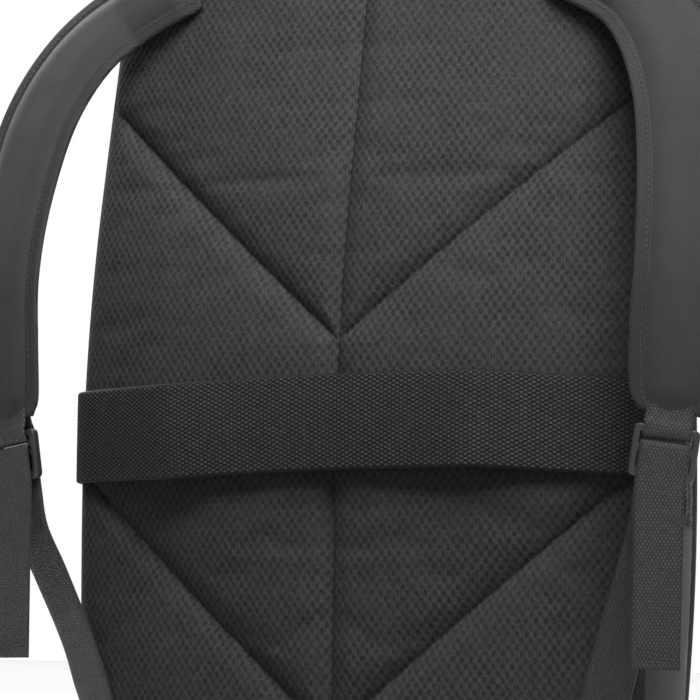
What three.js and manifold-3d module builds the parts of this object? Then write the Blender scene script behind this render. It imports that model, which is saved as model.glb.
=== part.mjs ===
// Laptop backpack with a luggage strap across its back.
// Millimetres, +Z up. The worn side (the quilted back panel) faces -Y, the front of the bag faces +Y,
// and the bag stands on its base at Z = 0. The group is centred so that its box is centred on X and Y.
//
// The bag is sewn from pattern pieces, and each is its own solid: a padded and quilted back panel, a front
// panel, two strips of top gusset with the main zip between them, a base gusset, the luggage strap, two padded
// shoulder straps with their webbing and adjusters, a grab handle and two zip sliders. The pieces enclose one
// hollow compartment. Neighbouring pieces keep a small seam gap.

import * as THREE from "three";
import { mergeVertices } from "three/addons/utils/BufferGeometryUtils.js";
import Module from "manifold-3d";

const wasm = await Module();
wasm.setup();

// ---------------------------------------------------------------- driving sizes
const SEAM_GAP = 0.3;
const CLOTH = 2.0; // wall of the coated cloth with its foam backing

const BAG = {
  halfWidth: 163,
  height: 490,
  topRadius: 70,
  baseRadius: 42,
  topTaper: 0.03, // share of the width lost at the top
  baseTaper: 0.03, // share of the width lost at the base
  widestZ: 200,
};

// The worn side: crowned from side to side, leaning forward above the small of the back.
const BACK = {
  crown: 16, // how far the panel falls away at crownAt from its middle
  crownAt: 120,
  leanFrom: 170,
  leanTo: 330,
  leanSlope: 0.2,
  tuckBelow: 46, // the panel's foot tucks under
  tuck: 7,
};
const PANEL = { thick: 12, edgeBand: 15, edgeDrop: 6 };

// Quilting: one upright seam and chevrons that rise from it to both sides.
const QUILT = {
  slope: 0.88,
  firstApexZ: 245,
  pitch: 210,
  grooveHalf: 6.5,
  grooveDepth: 4.5,
};

// Depth of the front face below each height, and how it falls away to the sides.
const FRONT_PROFILE = [
  { z: 0, y: 146 },
  { z: 60, y: 160 },
  { z: 140, y: 167 },
  { z: 240, y: 163 },
  { z: 340, y: 154 },
  { z: 430, y: 142 },
  { z: 490, y: 129 },
];
const FRONT = { crown: 20, edgeRadius: 16 };

const GUSSET = { splitZ: 150, sideBulge: 7, topBulge: 3 };
const ZIP = { at: 0.58, width: 14, thick: 1.6 };

// The luggage strap: 50 mm webbing that stands off the back so that two handle tubes pass behind it.
// x, y is its inner face; dz is how far its middle line lies from strap.z.
const STRAP = { z: 200, width: 50, thick: 2.0 };
const STRAP_PATH = [
  { x: -164.4, y: 41.2, dz: -4.5 },
  { x: -164.2, y: 36.4, dz: -4.5 },
  { x: -161.6, y: 31.2, dz: -4.5 },
  { x: -154.0, y: 24.6, dz: -4.4 },
  { x: -124.0, y: 8.3, dz: -4.1 },
  { x: -99.0, y: -5.4, dz: -3.9 },
  { x: -95.6, y: -7.0, dz: -3.85 },
  { x: -91.3, y: -8.1, dz: -3.75 },
  { x: -87.0, y: -8.5, dz: -3.55 },
  { x: -46.0, y: -8.5, dz: -1.6 },
  { x: -6.0, y: -8.5, dz: 0.1 },
  { x: 34.0, y: -8.5, dz: 1.35 },
  { x: 73.0, y: -8.5, dz: 1.8 },
  { x: 77.3, y: -8.1, dz: 1.8 },
  { x: 82.0, y: -6.8, dz: 1.75 },
  { x: 88.0, y: -4.2, dz: 1.6 },
  { x: 117.0, y: 8.4, dz: 0.3 },
  { x: 154.0, y: 24.6, dz: -1.2 },
  { x: 161.6, y: 31.2, dz: -1.5 },
  { x: 164.2, y: 36.4, dz: -1.6 },
  { x: 164.4, y: 41.2, dz: -1.6 },
];

// The padded shoulder strap on the +X side: its middle line over the worn side, how far it stands off it,
// its section, and its turn about its own line.
const SHOULDER_PATH = [
  { x: 105, z: 455, off: 6.3, width: 41, thick: 9, turn: 0 },
  { x: 125, z: 447.5, off: 8.3, width: 45, thick: 11, turn: 2 },
  { x: 150, z: 437, off: 13, width: 49, thick: 12, turn: 5 },
  { x: 172.5, z: 412, off: 20, width: 54, thick: 12, turn: 11 },
  { x: 188, z: 374, off: 26, width: 58, thick: 12, turn: 17 },
  { x: 195, z: 327, off: 30, width: 59, thick: 12, turn: 21 },
  { x: 196.5, z: 280, off: 32, width: 59, thick: 12, turn: 23 },
  { x: 193, z: 240, off: 31, width: 55, thick: 11.5, turn: 22 },
  { x: 188.5, z: 213, off: 30, width: 45, thick: 10, turn: 20 },
  { x: 187, z: 203, off: 29.5, width: 36, thick: 7, turn: 18 },
];
const SHOULDER_EDGE_X = 150; // past this the strap keeps the depth of the panel's edge

const WEBBING = { width: 25, thick: 1.4 };
const TAB = { width: 24, wall: 1.3 };
const ADJUSTER = {
  width: 34,
  length: 27,
  thick: 4.5,
  side: 3.6,
  topBar: 4,
  topSlot: 6,
  midBar: 4,
  lowSlot: 8,
  start: 7, // from the strap's end to the frame
};
const TAIL = 92; // free end of the webbing below the adjuster
// The webbing from its sewn foot on the panel's lower corner up to the adjuster.
const FOOT_PATH = [
  { x: 137.5, z: 22, off: 1.4, turn: 0 },
  { x: 140.5, z: 34, off: 1.5, turn: 0 },
  { x: 145, z: 52, off: 2.6, turn: -2 },
  { x: 154, z: 82, off: 7.5, turn: -6 },
  { x: 168, z: 120, off: 16, turn: -11 },
];

const HANDLE = { width: 18, thick: 3, y: 71.5 };
const HANDLE_PATH = [
  { x: -66, z: 493.6 },
  { x: -54, z: 493.8 },
  { x: -49, z: 496 },
  { x: -45.5, z: 502 },
  { x: -41, z: 511 },
  { x: -32, z: 518 },
  { x: -16, z: 521.5 },
  { x: 0, z: 522.5 },
  { x: 16, z: 521.5 },
  { x: 32, z: 518 },
  { x: 41, z: 511 },
  { x: 45.5, z: 502 },
  { x: 49, z: 496 },
  { x: 54, z: 493.8 },
  { x: 66, z: 493.6 },
];

const SLIDER = { at: 9, length: 12, width: 9, height: 4.2, pull: 34, pullWidth: 7, pullThick: 2.2 };

// ---------------------------------------------------------------- small helpers
const V = (x, y, z) => new THREE.Vector3(x, y, z);
const rad = (d) => (d * Math.PI) / 180;

// Smooth value of a column at a key, through the rows of a table.
function along(rows, key, column, at) {
  const n = rows.length;
  if (at <= rows[0][key]) return rows[0][column];
  if (at >= rows[n - 1][key]) return rows[n - 1][column];
  let i = 0;
  while (rows[i + 1][key] < at) i++;
  const slope = (a, b) => (rows[b][column] - rows[a][column]) / (rows[b][key] - rows[a][key]);
  const h = rows[i + 1][key] - rows[i][key];
  const t = (at - rows[i][key]) / h;
  const m0 = slope(Math.max(0, i - 1), i + 1) * h;
  const m1 = slope(i, Math.min(n - 1, i + 2)) * h;
  const t2 = t * t,
    t3 = t2 * t;
  return (
    (2 * t3 - 3 * t2 + 1) * rows[i][column] +
    (t3 - 2 * t2 + t) * m0 +
    (3 * t2 - 2 * t3) * rows[i + 1][column] +
    (t3 - t2) * m1
  );
}

// A closed geometry from corner points and triangles, turned so that its faces point out.
function closed(points, triangles) {
  let volume = 0;
  for (const [a, b, c] of triangles)
    volume += points[a].dot(new THREE.Vector3().crossVectors(points[b], points[c]));
  const index = volume < 0 ? triangles.map(([a, b, c]) => [a, c, b]) : triangles;
  const g = new THREE.BufferGeometry();
  g.setAttribute("position", new THREE.Float32BufferAttribute(points.flatMap((p) => [p.x, p.y, p.z]), 3));
  g.setIndex(index.flat());
  g.computeVertexNormals();
  return g;
}

// A cloth wall: each station has a row of points on its outer face and one on its inner face.
function wall(stations, loop = false) {
  const n = stations.length,
    r = stations[0].outer.length;
  const points = [],
    tris = [];
  for (const s of stations) points.push(...s.outer, ...s.inner);
  const id = (k, side, i) => (k % n) * 2 * r + side * r + i;
  const quad = (a, b, c, d) => tris.push([a, b, c], [a, c, d]);
  for (let k = 0; k < (loop ? n : n - 1); k++) {
    for (let i = 0; i < r - 1; i++) {
      quad(id(k, 0, i), id(k, 0, i + 1), id(k + 1, 0, i + 1), id(k + 1, 0, i));
      quad(id(k, 1, i + 1), id(k, 1, i), id(k + 1, 1, i), id(k + 1, 1, i + 1));
    }
    quad(id(k, 1, 0), id(k, 0, 0), id(k + 1, 0, 0), id(k + 1, 1, 0));
    quad(id(k, 0, r - 1), id(k, 1, r - 1), id(k + 1, 1, r - 1), id(k + 1, 0, r - 1));
  }
  if (!loop)
    for (let i = 0; i < r - 1; i++) {
      quad(id(0, 0, i), id(0, 1, i), id(0, 1, i + 1), id(0, 0, i + 1));
      quad(id(n - 1, 0, i + 1), id(n - 1, 1, i + 1), id(n - 1, 1, i), id(n - 1, 0, i));
    }
  return closed(points, tris);
}

// A bar lofted through rings of equal count, closed by a fan at each end.
function loft(rings) {
  const m = rings[0].length,
    points = rings.flat(),
    tris = [];
  for (let k = 0; k < rings.length - 1; k++)
    for (let i = 0; i < m; i++) {
      const a = k * m + i,
        b = k * m + ((i + 1) % m);
      tris.push([a, b, b + m], [a, b + m, a + m]);
    }
  for (const [k, flip] of [
    [0, true],
    [rings.length - 1, false],
  ]) {
    const c = new THREE.Vector3();
    for (const p of rings[k]) c.addScaledVector(p, 1 / m);
    points.push(c);
    const ci = points.length - 1;
    for (let i = 0; i < m; i++) {
      const a = k * m + i,
        b = k * m + ((i + 1) % m);
      tris.push(flip ? [ci, b, a] : [ci, a, b]);
    }
  }
  return closed(points, tris);
}

function solid(geometry) {
  let g = geometry.clone();
  g.deleteAttribute("normal");
  if (g.attributes.uv) g.deleteAttribute("uv");
  g = mergeVertices(g, 1e-4);
  return new wasm.Manifold(
    new wasm.Mesh({
      numProp: 3,
      vertProperties: new Float32Array(g.attributes.position.array),
      triVerts: new Uint32Array(g.index.array),
    }),
  );
}

function geometryOf(manifold) {
  const m = manifold.getMesh();
  const g = new THREE.BufferGeometry();
  const p = new Float32Array(m.numVert * 3);
  for (let i = 0; i < m.numVert; i++) p.set(m.vertProperties.subarray(i * m.numProp, i * m.numProp + 3), i * 3);
  g.setAttribute("position", new THREE.BufferAttribute(p, 3));
  g.setIndex(new THREE.BufferAttribute(m.triVerts, 1));
  g.computeVertexNormals();
  return g;
}

// ---------------------------------------------------------------- the bag's form
const taper = (z) =>
  z > BAG.widestZ
    ? 1 - BAG.topTaper * ((z - BAG.widestZ) / (BAG.height - BAG.widestZ)) ** 2
    : 1 - BAG.baseTaper * ((BAG.widestZ - z) / BAG.widestZ) ** 2;

// Half the bag's width at a height, round corners included.
function halfWidth(z) {
  const { halfWidth: w, height: h, topRadius: rt, baseRadius: rb } = BAG;
  let x = w;
  if (z < rb) x = w - rb + Math.sqrt(Math.max(0, rb * rb - (rb - z) ** 2));
  if (z > h - rt) x = w - rt + Math.sqrt(Math.max(0, rt * rt - (z - h + rt) ** 2));
  return x * taper(z);
}

function lean(z) {
  const run = BACK.leanTo - BACK.leanFrom;
  if (z <= BACK.leanFrom) return 0;
  if (z < BACK.leanTo) return (BACK.leanSlope * (z - BACK.leanFrom) ** 2) / (2 * run);
  return BACK.leanSlope * (run / 2 + z - BACK.leanTo);
}
const tuck = (z) => (z < BACK.tuckBelow ? BACK.tuck * ((BACK.tuckBelow - z) / BACK.tuckBelow) ** 2 : 0);
const backY = (x, z) => BACK.crown * (x / BACK.crownAt) ** 2 + lean(z) + tuck(z);
const frontY = (x, z) => along(FRONT_PROFILE, "z", "y", z) - FRONT.crown * (x / BAG.halfWidth) ** 2;
const rearSeam = (x, z) => backY(x, z) + PANEL.thick + SEAM_GAP;
const frontSeam = (x, z) => frontY(x, z) - FRONT.edgeRadius;

// The bag's outline seen from behind, as runs of points with their outward direction.
function run(points) {
  return points.map((p, i) => {
    const a = points[Math.max(0, i - 1)],
      b = points[Math.min(points.length - 1, i + 1)];
    const d = Math.hypot(b.x - a.x, b.z - a.z);
    return { x: p.x, z: p.z, nx: (b.z - a.z) / d, nz: -(b.x - a.x) / d };
  });
}
function straight(list, x0, z0, x1, z1, n) {
  for (let i = list.length ? 1 : 0; i <= n; i++)
    list.push({ x: x0 + ((x1 - x0) * i) / n, z: z0 + ((z1 - z0) * i) / n });
}
function arc(list, cx, cz, r, from, to, n) {
  for (let i = 1; i <= n; i++) {
    const a = rad(from + ((to - from) * i) / n);
    list.push({ x: cx + r * Math.cos(a), z: cz + r * Math.sin(a) });
  }
}
const { halfWidth: HW, height: H, topRadius: RT, baseRadius: RB } = BAG;
const tapered = (list) => list.map((p) => ({ x: p.x * taper(p.z), z: p.z }));

const upper = [];
straight(upper, HW, GUSSET.splitZ + SEAM_GAP / 2, HW, H - RT, 6);
arc(upper, HW - RT, H - RT, RT, 0, 90, 7);
straight(upper, HW - RT, H, RT - HW, H, 4);
arc(upper, RT - HW, H - RT, RT, 90, 180, 7);
straight(upper, -HW, H - RT, -HW, GUSSET.splitZ + SEAM_GAP / 2, 6);
const lower = [];
straight(lower, -HW, GUSSET.splitZ - SEAM_GAP / 2, -HW, RB, 3);
arc(lower, RB - HW, RB, RB, 180, 270, 6);
straight(lower, RB - HW, 0, HW - RB, 0, 6);
arc(lower, HW - RB, RB, RB, 270, 360, 6);
straight(lower, HW, RB, HW, GUSSET.splitZ - SEAM_GAP / 2, 3);
const upperRun = run(tapered(upper));
const lowerRun = run(tapered(lower));

// One strip of gusset between two shares of the way from the rear seam to the front seam.
function strip(path, from, to, cuts, thick) {
  return wall(
    path.map((p) => {
      const y0 = rearSeam(p.x, p.z),
        y1 = frontSeam(p.x, p.z);
      const bulge = p.nz < 0 ? GUSSET.sideBulge * (1 + p.nz) : GUSSET.sideBulge + (GUSSET.topBulge - GUSSET.sideBulge) * p.nz;
      const ya = from(y0, y1),
        yb = to(y0, y1);
      const outer = [],
        inner = [];
      for (let i = 0; i <= cuts; i++) {
        const y = ya + ((yb - ya) * i) / cuts;
        const off = bulge * Math.sin(Math.PI * Math.min(1, Math.max(0, (y - y0) / (y1 - y0))));
        outer.push(V(p.x + p.nx * off, y, p.z + p.nz * off));
        inner.push(V(p.x + p.nx * (off - thick), y, p.z + p.nz * (off - thick)));
      }
      return { outer, inner };
    }),
  );
}
const zipLine = (y0, y1) => y0 + (y1 - y0) * ZIP.at;
const gussetRear = strip(upperRun, (a) => a, (a, b) => zipLine(a, b) - ZIP.width / 2 - SEAM_GAP, 3, CLOTH);
const gussetFront = strip(upperRun, (a, b) => zipLine(a, b) + ZIP.width / 2 + SEAM_GAP, (a, b) => b, 3, CLOTH);
const mainZip = strip(upperRun, (a, b) => zipLine(a, b) - ZIP.width / 2, (a, b) => zipLine(a, b) + ZIP.width / 2, 2, ZIP.thick);
const baseGusset = strip(lowerRun, (a) => a, (a, b) => b, 5, CLOTH);

// The front panel: it turns over a rounded edge and crowns towards its middle.
function frontPanel() {
  const rim = [...upperRun, ...lowerRun];
  const insets = [0, 1.6, 5, 10, 16];
  const shares = [0.72, 0.45, 0.2];
  const c = { x: 0, z: H * 0.5 };
  const R = FRONT.edgeRadius;
  const stations = rim.map((p) => {
    const outer = [],
      inner = [];
    let q = p;
    for (const d of insets) {
      q = { x: p.x - p.nx * d, z: p.z - p.nz * d };
      const co = (R - d) / R,
        si = Math.sqrt(1 - co * co);
      const y = frontY(q.x, q.z) - (R - R * si) + (d === 0 ? SEAM_GAP : 0);
      outer.push(V(q.x, y, q.z));
      inner.push(V(q.x - p.nx * CLOTH * co, y - CLOTH * si, q.z - p.nz * CLOTH * co));
    }
    for (const s of shares) {
      const x = c.x + (q.x - c.x) * s,
        z = c.z + (q.z - c.z) * s;
      outer.push(V(x, frontY(x, z), z));
      inner.push(V(x, frontY(x, z) - CLOTH, z));
    }
    return { outer, inner };
  });
  const n = stations.length,
    r = stations[0].outer.length;
  const points = stations.flatMap((s) => [...s.outer, ...s.inner]);
  const tris = [];
  const id = (k, side, i) => (k % n) * 2 * r + side * r + i;
  const quad = (a, b, cc, d) => tris.push([a, b, cc], [a, cc, d]);
  points.push(V(c.x, frontY(c.x, c.z), c.z), V(c.x, frontY(c.x, c.z) - CLOTH, c.z));
  const top = points.length - 2,
    under = points.length - 1;
  for (let k = 0; k < n; k++) {
    for (let i = 0; i < r - 1; i++) {
      quad(id(k, 0, i), id(k, 0, i + 1), id(k + 1, 0, i + 1), id(k + 1, 0, i));
      quad(id(k, 1, i + 1), id(k, 1, i), id(k + 1, 1, i), id(k + 1, 1, i + 1));
    }
    quad(id(k, 1, 0), id(k, 0, 0), id(k + 1, 0, 0), id(k + 1, 1, 0));
    tris.push([id(k, 0, r - 1), top, id(k + 1, 0, r - 1)]);
    tris.push([id(k + 1, 1, r - 1), under, id(k, 1, r - 1)]);
  }
  return closed(points, tris);
}

// ---------------------------------------------------------------- the quilted back panel
const edgeFall = (d) => (d < PANEL.edgeBand ? PANEL.edgeDrop * (1 - d / PANEL.edgeBand) ** 2 : 0);
const panelY = (x, z) => backY(x, z) + edgeFall(Math.min(halfWidth(z) - Math.abs(x), z, H - z));

function panelSlab() {
  const across = [-1, -0.97, -0.9, -0.76, -0.57, -0.38, -0.19, 0, 0.19, 0.38, 0.57, 0.76, 0.9, 0.97, 1];
  const up = [0, 5, 15, 29, 46, 80, 120, 160, 200, 240, 280, 320, 360, 400, 428, 450, 466, 477, 485, 490];
  const outer = [],
    inner = [];
  for (const z of up) {
    const w = halfWidth(z);
    outer.push(across.map((s) => V(s * w, panelY(s * w, z), z)));
    inner.push(across.map((s) => V(s * w, backY(s * w, z) + PANEL.thick, z)));
  }
  const n = up.length,
    m = across.length,
    points = [...outer.flat(), ...inner.flat()],
    tris = [];
  const id = (side, k, i) => side * n * m + k * m + i;
  const quad = (a, b, c, d) => tris.push([a, b, c], [a, c, d]);
  for (let k = 0; k < n - 1; k++) {
    for (let i = 0; i < m - 1; i++) {
      quad(id(0, k, i), id(0, k, i + 1), id(0, k + 1, i + 1), id(0, k + 1, i));
      quad(id(1, k, i + 1), id(1, k, i), id(1, k + 1, i), id(1, k + 1, i + 1));
    }
    quad(id(1, k, 0), id(0, k, 0), id(0, k + 1, 0), id(1, k + 1, 0));
    quad(id(0, k, m - 1), id(1, k, m - 1), id(1, k + 1, m - 1), id(0, k + 1, m - 1));
  }
  for (let i = 0; i < m - 1; i++) {
    quad(id(0, 0, i + 1), id(0, 0, i), id(1, 0, i), id(1, 0, i + 1));
    quad(id(0, n - 1, i), id(0, n - 1, i + 1), id(1, n - 1, i + 1), id(1, n - 1, i));
  }
  return closed(points, tris);
}

// A sewn line pressed into the padding: a V-shaped furrow along points of the panel.
function furrow(line) {
  const rise = 3;
  const spread = QUILT.grooveHalf * (1 + rise / QUILT.grooveDepth);
  return solid(
    loft(
      line.map((p, k) => {
        const a = line[Math.max(0, k - 1)],
          b = line[Math.min(line.length - 1, k + 1)];
        const d = Math.hypot(b.x - a.x, b.z - a.z);
        const sx = (b.z - a.z) / d,
          sz = -(b.x - a.x) / d;
        const y = panelY(Math.max(-halfWidth(p.z), Math.min(halfWidth(p.z), p.x)), p.z);
        return [
          V(p.x + sx * spread, y - rise, p.z + sz * spread),
          V(p.x - sx * spread, y - rise, p.z - sz * spread),
          V(p.x, y + QUILT.grooveDepth, p.z),
        ];
      }),
    ),
  );
}

function backPanel() {
  let panel = solid(panelSlab());
  const upright = [];
  for (let z = -8; z <= H + 8; z += 42) upright.push({ x: 0, z });
  upright.push({ x: 0, z: H + 10 });
  panel = panel.subtract(furrow(upright));
  for (const apex of [QUILT.firstApexZ - QUILT.pitch, QUILT.firstApexZ])
    for (const side of [-1, 1]) {
      const arm = [];
      for (let x = 0; x <= 168; x += 28) {
        const z = apex + QUILT.slope * x;
        if (z < H + 12) arm.push({ x: side * x, z });
      }
      panel = panel.subtract(furrow(arm));
    }
  return geometryOf(panel);
}

// ---------------------------------------------------------------- straps
function luggageStrap() {
  const half = STRAP.width / 2;
  return wall(
    STRAP_PATH.map((p, k) => {
      const a = STRAP_PATH[Math.max(0, k - 1)],
        b = STRAP_PATH[Math.min(STRAP_PATH.length - 1, k + 1)];
      const d = Math.hypot(b.x - a.x, b.y - a.y);
      const nx = (b.y - a.y) / d,
        ny = -(b.x - a.x) / d;
      const z = STRAP.z + p.dz;
      const at = (t, dz) => V(p.x + nx * t, p.y + ny * t, z + dz);
      return {
        outer: [at(STRAP.thick, -half), at(STRAP.thick, half)],
        inner: [at(0, -half), at(0, half)],
      };
    }),
  );
}

// Places along a strap over the worn side: middle point, direction, width direction and face direction.
function places(rows, side) {
  const mids = rows.map((r) => V(side * r.x, backY(Math.min(r.x, SHOULDER_EDGE_X), r.z) - r.off, r.z));
  return rows.map((r, k) => {
    const t = mids[Math.min(rows.length - 1, k + 1)].clone().sub(mids[Math.max(0, k - 1)]).normalize();
    // Near its sewn end a strap lies flat on the panel; further off it only faces backwards.
    const lie = Math.min(1, Math.max(0, 1 - (r.off - 8) / 20));
    const px = Math.min(r.x, SHOULDER_EDGE_X);
    const fallX = (side * 2 * BACK.crown * px) / BACK.crownAt ** 2;
    const fallZ = lean(r.z + 0.5) + tuck(r.z + 0.5) - lean(r.z - 0.5) - tuck(r.z - 0.5);
    const n = V(lie * fallX, -1, lie * fallZ);
    n.addScaledVector(t, -n.dot(t)).normalize();
    const b = new THREE.Vector3().crossVectors(t, n).multiplyScalar(side).normalize();
    const q = new THREE.Quaternion().setFromAxisAngle(t, rad(-side * r.turn));
    n.applyQuaternion(q);
    b.applyQuaternion(q);
    return { mid: mids[k], t, n, b, row: r };
  });
}

// Section of a padded strap: a flat pad with full, rounded edges.
const PAD_SECTION = [
  { u: -0.5, v: 0 },
  { u: -0.47, v: 0.36 },
  { u: -0.36, v: 0.5 },
  { u: 0.36, v: 0.5 },
  { u: 0.47, v: 0.36 },
  { u: 0.5, v: 0 },
  { u: 0.47, v: -0.36 },
  { u: 0.36, v: -0.5 },
  { u: -0.36, v: -0.5 },
  { u: -0.47, v: -0.36 },
];

// The frame that the adjuster and the webbing share: it starts at the padded strap's end and looks down it.
function adjusterFrame(side) {
  const end = places(SHOULDER_PATH, side).at(-1);
  return (b, t, n) => end.mid.clone().addScaledVector(end.b, b).addScaledVector(end.t, t).addScaledVector(end.n, n);
}

const barTop = ADJUSTER.start + ADJUSTER.topBar / 2;
const midBarFrom = ADJUSTER.start + ADJUSTER.topBar + ADJUSTER.topSlot;

// A flat form drawn across the adjuster's frame (b, t) or through it (t, n), given its thickness along the third way.
function placed(geometry, map) {
  const p = geometry.attributes.position;
  for (let i = 0; i < p.count; i++) {
    const v = map(p.getX(i), p.getY(i), p.getZ(i));
    p.setXYZ(i, v.x, v.y, v.z);
  }
  return geometry;
}
function outward(geometry) {
  let g = geometry.clone();
  g.deleteAttribute("normal");
  if (g.attributes.uv) g.deleteAttribute("uv");
  g = mergeVertices(g, 1e-4);
  const p = g.attributes.position,
    points = [];
  for (let i = 0; i < p.count; i++) points.push(V(p.getX(i), p.getY(i), p.getZ(i)));
  const tris = [];
  for (let i = 0; i < g.index.count; i += 3) tris.push([g.index.getX(i), g.index.getX(i + 1), g.index.getX(i + 2)]);
  return closed(points, tris);
}
function roundRect(w, h, r, cx, cy, Kind = THREE.Shape) {
  const s = new Kind();
  const x0 = cx - w / 2,
    x1 = cx + w / 2,
    y0 = cy - h / 2,
    y1 = cy + h / 2;
  s.moveTo(x0 + r, y0);
  s.lineTo(x1 - r, y0);
  s.quadraticCurveTo(x1, y0, x1, y0 + r);
  s.lineTo(x1, y1 - r);
  s.quadraticCurveTo(x1, y1, x1 - r, y1);
  s.lineTo(x0 + r, y1);
  s.quadraticCurveTo(x0, y1, x0, y1 - r);
  s.lineTo(x0, y0 + r);
  s.quadraticCurveTo(x0, y0, x0 + r, y0);
  return s;
}

function shoulderStrap(side) {
  const rings = places(SHOULDER_PATH, side).map(({ mid, n, b, row }) =>
    PAD_SECTION.map(({ u, v }) => mid.clone().addScaledVector(b, u * row.width).addScaledVector(n, v * row.thick)),
  );
  const pad = solid(loft(rings));
  // A folded tab of webbing holds the adjuster's top bar.
  const gapT = ADJUSTER.topBar + 1.2,
    gapN = ADJUSTER.thick + 1.2;
  const loop = roundRect(gapT + 2 * TAB.wall, gapN + 2 * TAB.wall, 1.6, barTop, 0);
  loop.holes.push(roundRect(gapT, gapN, 0.8, barTop, 0, THREE.Path));
  const ring = new THREE.ExtrudeGeometry(loop, { depth: TAB.width, bevelEnabled: false, curveSegments: 2 });
  const neckEnd = barTop - gapT / 2 - TAB.wall * 0.5;
  const neck = new THREE.ExtrudeGeometry(roundRect(neckEnd + 4, 3.2, 0.4, (neckEnd - 4) / 2, 0), {
    depth: TAB.width,
    bevelEnabled: false,
    curveSegments: 1,
  });
  const frame = adjusterFrame(side);
  const map = (t, n, b) => frame(b - TAB.width / 2, t, n);
  // The sewn end takes the panel's form, a seam gap above it.
  const bed = panelSlab();
  bed.translate(0, -SEAM_GAP - 0.1, 0);
  return geometryOf(
    pad
      .subtract(solid(bed))
      .add(solid(outward(placed(ring, map))))
      .add(solid(outward(placed(neck, map)))),
  );
}

function adjuster(side) {
  const { width, length, thick, start, topBar, topSlot, midBar, lowSlot, side: rail } = ADJUSTER;
  const plate = roundRect(width, length, 3, 0, start + length / 2);
  const slotWidth = width - 2 * rail;
  plate.holes.push(roundRect(slotWidth, topSlot, 0.8, 0, start + topBar + topSlot / 2, THREE.Path));
  plate.holes.push(roundRect(slotWidth, lowSlot, 0.8, 0, start + topBar + topSlot + midBar + lowSlot / 2, THREE.Path));
  const g = new THREE.ExtrudeGeometry(plate, { depth: thick, bevelEnabled: false, curveSegments: 3 });
  const frame = adjusterFrame(side);
  return outward(placed(g, (b, t, n) => frame(b, t, n - thick / 2)));
}

// The lower webbing: from its sewn foot up behind the adjuster, through the upper slot over the middle bar, and down
// before the low bar as a free end.
function webbing(side) {
  const half = WEBBING.width / 2;
  const end = places(SHOULDER_PATH, side).at(-1);
  const foot = places(FOOT_PATH, side).map(({ mid, b }) => ({ mid, b: b.negate() }));
  const frame = adjusterFrame(side);
  const over = midBarFrom,
    frameEnd = ADJUSTER.start + ADJUSTER.length;
  const clear = ADJUSTER.thick / 2 + 0.5 + WEBBING.thick / 2;
  const turnRows = [
    { t: frameEnd + 26, n: -1.6 - clear },
    { t: frameEnd + 6, n: -clear - 0.2 },
    { t: over + 0.4, n: -clear },
    { t: over - 1.1, n: -clear * 0.74 },
    { t: over - 1.8, n: 0 },
    { t: over - 1.1, n: clear * 0.74 },
    { t: over + 0.4, n: clear },
    { t: frameEnd + 4, n: clear + 0.2 },
  ];
  const mids = [...foot.map((f) => f.mid), ...turnRows.map((r) => frame(0, r.t, r.n))];
  // The free end hangs straight down.
  const from = mids.at(-1);
  for (const drop of [0.3, 0.65, 1]) mids.push(V(from.x - side * 1.5 * drop, from.y - 1.5 * drop, from.z - TAIL * drop));
  const stations = mids.map((m, k) => {
    const t = mids[Math.min(mids.length - 1, k + 1)].clone().sub(mids[Math.max(0, k - 1)]).normalize();
    const guide = k < foot.length ? foot[k].b.clone() : end.b.clone();
    const b = guide.addScaledVector(t, -guide.dot(t)).normalize();
    const n = new THREE.Vector3().crossVectors(b, t).normalize();
    const at = (w, h) => m.clone().addScaledVector(b, w).addScaledVector(n, h);
    return {
      outer: [at(-half, WEBBING.thick / 2), at(half, WEBBING.thick / 2)],
      inner: [at(-half, -WEBBING.thick / 2), at(half, -WEBBING.thick / 2)],
    };
  });
  return wall(stations);
}

// ---------------------------------------------------------------- handle and zip sliders
function grabHandle() {
  return wall(
    HANDLE_PATH.map((p, k) => {
      const a = HANDLE_PATH[Math.max(0, k - 1)],
        b = HANDLE_PATH[Math.min(HANDLE_PATH.length - 1, k + 1)];
      const d = Math.hypot(b.x - a.x, b.z - a.z);
      const nx = -(b.z - a.z) / d,
        nz = (b.x - a.x) / d;
      const at = (t, w) => V(p.x + nx * t, HANDLE.y + w, p.z + nz * t);
      return {
        outer: [at(HANDLE.thick, -HANDLE.width / 2), at(HANDLE.thick, HANDLE.width / 2)],
        inner: [at(0, -HANDLE.width / 2), at(0, HANDLE.width / 2)],
      };
    }),
  );
}

function zipSlider(side) {
  const y = zipLine(rearSeam(0, H), frontSeam(0, H));
  const z = H + GUSSET.topBulge + SEAM_GAP;
  const body = new THREE.ExtrudeGeometry(roundRect(SLIDER.length, SLIDER.width, 2.4, side * SLIDER.at, y), {
    depth: SLIDER.height,
    bevelEnabled: false,
    curveSegments: 3,
  });
  const pull = new THREE.ExtrudeGeometry(
    roundRect(SLIDER.pull, SLIDER.pullWidth, 2.6, side * (SLIDER.at + 3 + SLIDER.pull / 2), y),
    { depth: SLIDER.pullThick, bevelEnabled: false, curveSegments: 3 },
  );
  const lift = (g, dz) => outward(placed(g, (px, py, pz) => V(px, py, pz + dz)));
  return geometryOf(solid(lift(body, z)).add(solid(lift(pull, z + SLIDER.height - SLIDER.pullThick - 0.6))));
}

// ---------------------------------------------------------------- the assembly
const cloth = { color: 0x2b2b2c, roughness: 0.85, metalness: 0 };
const mesh3d = { color: 0x3c3c3d, roughness: 0.95, metalness: 0 };
const web = { color: 0x262627, roughness: 0.75, metalness: 0 };
const plastic = { color: 0x171718, roughness: 0.45, metalness: 0 };
const tape = { color: 0x1d1d1e, roughness: 0.7, metalness: 0 };
const metal = { color: 0x3a3a3c, roughness: 0.35, metalness: 0.9 };

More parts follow.
